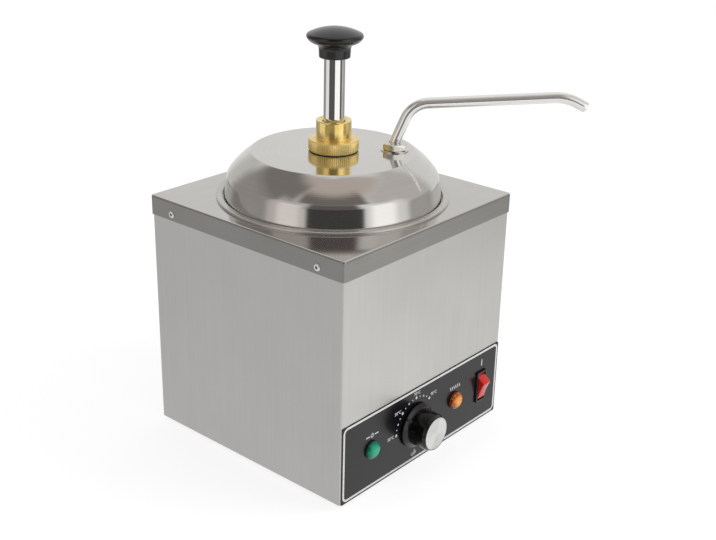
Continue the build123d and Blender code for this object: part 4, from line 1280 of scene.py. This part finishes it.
@dataclass
class Plunger:
    """The bright plunger with its black push knob, and the spring below."""

    tube_r: float = 9.0
    knob_z: float = 341.6
    knob_rim: tuple[float, float, float] = (22.5, 20.0, 25.3)   # the rim's radius, its rise and the dome's
    coils: int = 11
    spring_low: float = 117.4
    spring_high: float = 190.0

    def tube(self) -> None:
        """Builds the plunger's tube."""
        section = rounded([(7.8, 198), (self.tube_r, 198, 0.2), (self.tube_r, 352, 0.2), (7.8, 352)],
                          closed=True)
        put(turn("plunger_bright", section, 128, ring=True), BRIGHT_TUBE, "plunger",
            ["plunger_tube"])

    def knob(self) -> None:
        """Builds the mushroom knob: neck, hollow flare, bowl, rolled edge and a low dome."""
        rim_r, rim_rise, top_rise = self.knob_rim
        dome = top_rise - rim_rise
        crown_r = (rim_r ** 2 + dome ** 2) / (2 * dome)
        halfway = top_rise - crown_r + sqrt(crown_r ** 2 - rim_r ** 2 / 4)
        outline = [(0.0, 10.5), (9.05, 10.5), (9.05, 0.0), (12.5, 0.0)]
        outline += bow((12.5, 0.0), (13.0, 0.25), (13.2, 0.8), 4) + [(13.5, 7.0)]
        outline += bow((13.5, 7.0), (14.3, 9.7), (16.2, 11.6), 8)
        outline += bow((16.2, 11.6), (20.9, 13.4), (23.2, 15.9), 12)
        outline += bow((23.2, 15.9), (23.85, 18.1), (rim_r, rim_rise), 10)
        outline += bow((rim_r, rim_rise), (rim_r / 2, halfway), (0.0, top_rise), 16)
        place = Matrix.Translation((0, 0, self.knob_z))
        put(turn("push_knob_black", outline, 128, place=place, sharp=50.0), PHENOLIC_KNOB, "plunger",
            ["push_knob"])

    def spring(self) -> None:
        """Builds the return spring at one length; on the pump it shortens as the plunger goes down."""
        per_coil, sides, wire, mean = 28, 10, 0.9, 11.0
        spans = self.coils * per_coil
        climb = (self.spring_high - self.spring_low) / spans
        loops = []
        for k in range(spans + 1):
            a = 2 * pi * k / per_coil
            out = Vector((cos(a), sin(a), 0))
            rise = climb * per_coil / (2 * pi)
            way = Vector((-sin(a) * mean, cos(a) * mean, rise)).normalized()
            up = out.cross(way)
            middle = out * mean + Vector((0, 0, self.spring_low + climb * k))
            loops.append([tuple(middle + (out * cos(t) + up * sin(t)) * wire) for t in around(sides)])
        piece = put(stack("return_spring_coil", loops, caps=True, sharp=50.0), SPRING_WIRE, "lid",
                    ["return_spring"])
        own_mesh(piece)

    def build(self) -> None:
        """Builds the plunger."""
        self.tube()
        self.knob()
        self.spring()
        dress(ACETAL, "piston")
        dress(NITRILE, "piston_rings")
        dress(ZINC_PLATE, "rod_stop", "knob_stud")


@dataclass
class Spout:
    """The bent discharge tube."""

    outer: float = 4.75
    inner: float = 3.75
    start_z: float = 254.2
    angle: float = SPOUT_ANGLE
    # By turns a straight run, as its length, and a bend, as its radius and the slope that it ends on.
    moves: tuple[Point, ...] = (
        (12.5, 0.0), (14.0, 67.6), (19.1, 0.0), (21.6, 2.9), (107.3, 0.0), (39.9, -27.0), (9.1, 0.0))

    def line(self) -> list[tuple[Vector, float]]:
        """Gives points along the tube's middle in its upright plane, each with its slope in degrees."""
        here, slope = Vector((0.0, self.start_z)), 90.0
        out = [(here.copy(), slope)]
        for number, (size, goal) in enumerate(self.moves):
            way = Vector((cos(radians(slope)), sin(radians(slope))))
            if number % 2 == 0:
                spans = 6 if size > 50 else 2
                out += [(here + way * size * (k + 1) / spans, slope) for k in range(spans)]
                here = here + way * size
                continue
            centre = here + Vector((way.y, -way.x)) * size
            spans = max(6, round(abs(slope - goal) / 3.0))
            for k in range(1, spans + 1):
                now = slope + (goal - slope) * k / spans
                a = radians(now)
                out.append((centre + Vector((-sin(a), cos(a))) * size, now))
            here, slope = out[-1][0].copy(), goal
        return out

    def build(self, place: Matrix) -> None:
        """Builds the tube with its bore, the rims eased.

        Args:
            place: the gland's place.
        """
        line = self.line()
        (first, _), (last, end_slope) = line[0], line[-1]
        tip = Vector((cos(radians(end_slope)), sin(radians(end_slope))))
        outside = [(point, slope, self.outer) for point, slope in line[:-1]]
        ends = [(last - tip * 0.3, end_slope, self.outer), (last - tip * 0.08, end_slope, self.outer - 0.1),
                (last, end_slope, self.outer - 0.32), (last, end_slope, self.inner + 0.2),
                (last - tip * 0.2, end_slope, self.inner)]
        inside = [(point, slope, self.inner) for point, slope in reversed(line[:-1])]
        loops = []
        for point, slope, radius in outside + ends + inside:
            a = radians(slope)
            across = Vector((-sin(a), 0, cos(a)))
            loops.append([tuple(Vector((point.x, 0, point.y)) + across * radius * cos(t)
                                + Vector((0, radius * sin(t), 0))) for t in around(48)])
        place = place @ spun(self.angle)
        put(stack("spout_bent_tube", loops, ring=True, place=place, sharp=40.0), POLISHED_SPOUT, "spout",
            ["spout_tube"])


@dataclass
class Interior:
    """Everything under the deck and round the well, dressed where it lies."""

    finishes: dict[str, Finish] = field(default_factory=lambda: {
        "heating_element": HEATER_SHEATH, "heater_glands": TURNED_BRASS, "insulation_wrap": MINERAL_WOOL,
        "insulation_pad": MINERAL_WOOL, "deck_plate": BRUSHED_SHEET, "thermostat_body": PHENOLIC_BODY,
        "thermostat_screws": ZINC_PLATE, "thermostat_bulb": COPPER, "bulb_clip": ZINC_PLATE,
        "thermal_cutout": PHENOLIC_BODY, "cutout_nuts": ZINC_PLATE, "terminal_block": CERAMIC,
        "earth_stud": ZINC_PLATE, "wiring": PVC_SLEEVE, "lamp_clips": ZINC_PLATE})

    def build(self) -> None:
        """Dresses the nodes."""
        for node, finish in self.finishes.items():
            dress(finish, node)


# ---------------------------------------------------------------- studio
@dataclass(frozen=True)
class Card:
    """A bright or dark card round the object, seen only in polished faces.

    Angles are degrees: across is to the right of the camera's side, up is above level.
    """

    across: tuple[float, float]
    up: tuple[float, float]
    colour: str
    gain: float = 1.0
    soft: float = 5.0

    def over(self, tree: Tree, where: Socket, under: Socket) -> Socket:
        """Lays the card over what is behind it.

        Args:
            tree: the world's node tree.
            where: direction as across and up, in radians.
            under: the colour behind.

        Returns:
            The colour with the card.
        """
        middle = [radians(sum(span) / 2) for span in (self.across, self.up)] + [0.0]
        half = [(span[1] - span[0]) / 2 for span in (self.across, self.up)] + [90.0]
        size = vector(tree, "ABSOLUTE", vector(tree, "SUBTRACT", where, middle))
        edge = add(tree, "MapRange", {
            "data_type": "FLOAT_VECTOR", "interpolation_type": "SMOOTHSTEP",
            7: [radians(h - self.soft) for h in half], 8: [radians(h + self.soft) for h in half],
            9: (1, 1, 1), 10: (0, 0, 0)}, {6: size})
        parts = add(tree, "SeparateXYZ", links={0: edge.outputs[1]})
        mask = add(tree, "Math", {"operation": "MULTIPLY"}, {0: parts.outputs["X"], 1: parts.outputs["Y"]})
        light = [c * self.gain for c in linear(self.colour)[:3]] + [1.0]
        laid = add(tree, "Mix", {"data_type": "RGBA", 7: light}, {"Factor": mask.outputs[0], 6: under})
        return laid.outputs[2]


# The room's cards, each laid over those before it.
CARDS = (
    Card((-108, 112), (57, 100), "#C4BAB2", soft=8),            # ceiling
    Card((54, 130), (8, 60), "#C8C4C0", soft=7),                # right wall, high
    Card((84, 126), (-22, 8), "#AFAEAB", soft=7),               # right wall, level
    Card((118, 152), (-22, -9), "#A4A3A0", soft=5),             # right wall, low and far
    Card((60, 112), (-100, -17), "#FFFFFD", 1.03, soft=7),      # right floor: the casing's front
    Card((-110, -60), (-100, -17), "#D8D8D8", soft=8),          # left floor: the casing's left face
    Card((-152, -118), (-22, -8), "#96918D", soft=5),           # left wall, low and far
    Card((-152, -122), (-8, 34), "#CFCECB", soft=8),            # left wall, high and far
    Card((-130, -64), (-19, 44), "#9E9A96", soft=8),            # left wall
    Card((-134, -52), (38, 72), "#837F7B", soft=7),             # dark flag: the shoulder's left
    Card((-48, 50), (44, 65), "#7A7470", soft=6),               # dark rail: the shoulder's front
    Card((36, 84), (-19, 38), "#EDECE9", soft=8),               # right panel
    Card((42, 70), (-19, 26), "#FFFEFC", 1.26, soft=6),         # its bright middle
    Card((-70, -28), (-19, 48), "#CAC4C0", soft=6),             # left panel
    Card((-58, -33), (-10, 30), "#F0EAE7", soft=5),             # its bright middle
    Card((-27, 31), (8, 46), "#676160", soft=6),                # camera's side, high
    Card((-26, 34), (-11, 12), "#454442", soft=3),              # camera's side, level
    Card((-31, 34), (-44, -17), "#EAEAEA", soft=4),             # camera's side, low
    Card((-98, -56), (-18, -10.8), "#F8F8F8", soft=0.8),        # low strips that the plunger shows
    Card((-56, 8), (-18, -10.8), "#5C5C5C", soft=0.8),
    Card((8, 63), (-18, -10.8), "#FFFFFF", 1.25, soft=0.8),
    Card((65, 88), (-18, -10.8), "#656565", soft=0.8),
)


@dataclass(frozen=True)
class Softbox:
    """A square lamp that faces the object and doesn't show in it. Lengths are metres."""

    name: str
    place: tuple[float, float, float]
    size: float
    watts: float

    def hang(self, aim: Vector) -> None:
        """Hangs the lamp, turned to the point that it lights."""
        data = bpy.data.lights.new(self.name, "AREA")
        data.shape, data.size, data.energy = "SQUARE", self.size, self.watts
        made = bpy.data.objects.new(self.name, data)
        made.location = self.place
        made.rotation_mode = "QUATERNION"
        made.rotation_quaternion = (Vector(self.place) - aim).to_track_quat("Z", "Y")
        made.visible_glossy = False
        bpy.context.scene.collection.objects.link(made)


@dataclass
class Studio:
    """Floor, surroundings, lights and camera."""

    eye: tuple[float, float, float] = (-716.7, -638.6, 554.7)
    azimuth: float = -49.69
    elevation: float = 22.85
    roll: float = 1.30
    lens: float = 58.57
    room: str = "#E8E8E7"
    fill: float = 0.72              # how much of a white room reaches matt surfaces
    floor_glow: float = 0.74        # lifts the floor to the background, short of its shadow
    floor_half: float = 6.0         # in metres
    softboxes: tuple[Softbox, ...] = (Softbox("softbox_right", (1.1, -1.5, 1.5), 1.2, 16.0),
                                      Softbox("softbox_left", (-1.7, -0.2, 1.3), 1.0, 5.0))
    aim: tuple[float, float, float] = (0.0, 0.0, 0.15)      # what they point at, in metres

    def camera(self) -> None:
        """Sets the camera at the photograph's place."""
        a, e, r = (radians(v) for v in (self.azimuth, self.elevation, self.roll))
        back = Vector((sin(a) * cos(e), -cos(a) * cos(e), sin(e)))
        right = Vector((cos(a), sin(a), 0.0))
        up = back.cross(right)
        x = right * cos(r) + up * sin(r)
        y = up * cos(r) - right * sin(r)
        data = bpy.data.cameras.new("portrait")
        data.lens, data.sensor_width = self.lens, 36.0
        data.clip_start, data.clip_end = 0.01, 50.0
        made = bpy.data.objects.new("portrait", data)
        pose = Matrix((x, y, back)).transposed().to_4x4()
        made.matrix_world = Matrix.Translation(Vector(self.eye) * MM) @ pose
        bpy.context.scene.collection.objects.link(made)
        bpy.context.scene.camera = made

    def floor(self) -> None:
        """Lays a pale floor that holds the shadow and melts into the background."""
        mesh = bpy.data.meshes.new("floor")
        far = self.floor_half
        mesh.from_pydata([(-far, -far, 0), (far, -far, 0), (far, far, 0), (-far, far, 0)], [], [(0, 1, 2, 3)])
        made = bpy.data.objects.new("floor", mesh)
        bpy.context.scene.collection.objects.link(made)
        paper = bpy.data.materials.new("floor_paper")
        paper.use_nodes = True
        tree = paper.node_tree
        tree.nodes.clear()
        path = add(tree, "LightPath")
        matt = add(tree, "BsdfDiffuse", {"Color": (0.92, 0.92, 0.92, 1)})
        pale = add(tree, "BsdfDiffuse", {"Color": (0.34, 0.34, 0.34, 1)})
        glow = add(tree, "Emission", {"Color": (1, 1, 1, 1), "Strength": self.floor_glow})
        seen = add(tree, "AddShader", links={0: pale.outputs[0], 1: glow.outputs[0]})
        clear = add(tree, "BsdfTransparent")
        lit = add(tree, "MixShader", links={"Fac": path.outputs["Is Camera Ray"], 1: matt.outputs[0],
                                            2: seen.outputs[0]})
        mirrored = add(tree, "Math", {"operation": "MAXIMUM"}, {0: path.outputs["Is Glossy Ray"],
                                                               1: path.outputs["Is Transmission Ray"]})
        both = add(tree, "MixShader", links={"Fac": mirrored.outputs[0], 1: lit.outputs[0],
                                             2: clear.outputs[0]})
        add(tree, "OutputMaterial", links={"Surface": both.outputs[0]})
        mesh.materials.append(paper)

    def surroundings(self) -> None:
        """Makes a white room with the cards that polished metal shows."""
        world = bpy.data.worlds.new("studio")
        bpy.context.scene.world = world
        world.use_nodes = True
        tree = world.node_tree
        tree.nodes.clear()
        way = add(tree, "TexCoord").outputs["Generated"]
        a = radians(self.azimuth)
        toward = vector(tree, "DOT_PRODUCT", way, (sin(a), -cos(a), 0))
        aside = vector(tree, "DOT_PRODUCT", way, (cos(a), sin(a), 0))
        across = add(tree, "Math", {"operation": "ARCTAN2"}, {0: aside, 1: toward})
        rise = add(tree, "Math", {"operation": "ARCSINE"},
                   {0: add(tree, "SeparateXYZ", links={0: way}).outputs["Z"]})
        where = add(tree, "CombineXYZ", links={"X": across.outputs[0], "Y": rise.outputs[0]})
        room = add(tree, "RGB")
        room.outputs[0].default_value = linear(self.room)
        shade = room.outputs[0]
        for card in CARDS:
            shade = card.over(tree, where.outputs[0], shade)
        path = add(tree, "LightPath")
        plain = add(tree, "Background", {"Color": (1, 1, 1, 1), "Strength": 1.0})
        soft = add(tree, "Background", {"Color": (1, 1, 1, 1), "Strength": self.fill})
        mirrored = add(tree, "Background", {"Strength": 1.0}, {"Color": shade})
        seen = add(tree, "MixShader", links={"Fac": path.outputs["Is Diffuse Ray"], 1: mirrored.outputs[0],
                                             2: soft.outputs[0]})
        final = add(tree, "MixShader", links={"Fac": path.outputs["Is Camera Ray"], 1: seen.outputs[0],
                                              2: plain.outputs[0]})
        add(tree, "OutputWorld", links={"Surface": final.outputs[0]})

    def build(self) -> None:
        """Sets up the studio."""
        self.camera()
        self.floor()
        self.surroundings()
        for softbox in self.softboxes:
            softbox.hang(Vector(self.aim))
        bpy.context.scene.view_settings.view_transform = "Standard"


def main() -> None:
    """Builds every part of the warmer and the studio round it."""
    logging.basicConfig(level=logging.INFO, format="%(name)s: %(message)s")
    lid = Lid()
    power = PilotLamp("power_lens_domed", "power_lamp_lens", POWER_LAMP_X, GREEN_LENS, "green_lens",
                      faceted=False)
    heating = PilotLamp("heating_lens_faceted", "heating_lamp_lens", HEATING_LAMP_X, AMBER_LENS, "amber_lens",
                        faceted=True)
    parts = [Studio(), Cabinet(), ControlPanel(), LampBezels(), power, heating, RockerSwitch(), Dial(), Pot(),
             lid, PumpHead(), Plunger(), Interior()]
    for part in parts:
        LOG.info("building %s", type(part).__name__)
        part.build()
    SpoutNut().build(lid.gland())
    Spout().build(lid.gland())


if __name__ == "__main__":
    main()
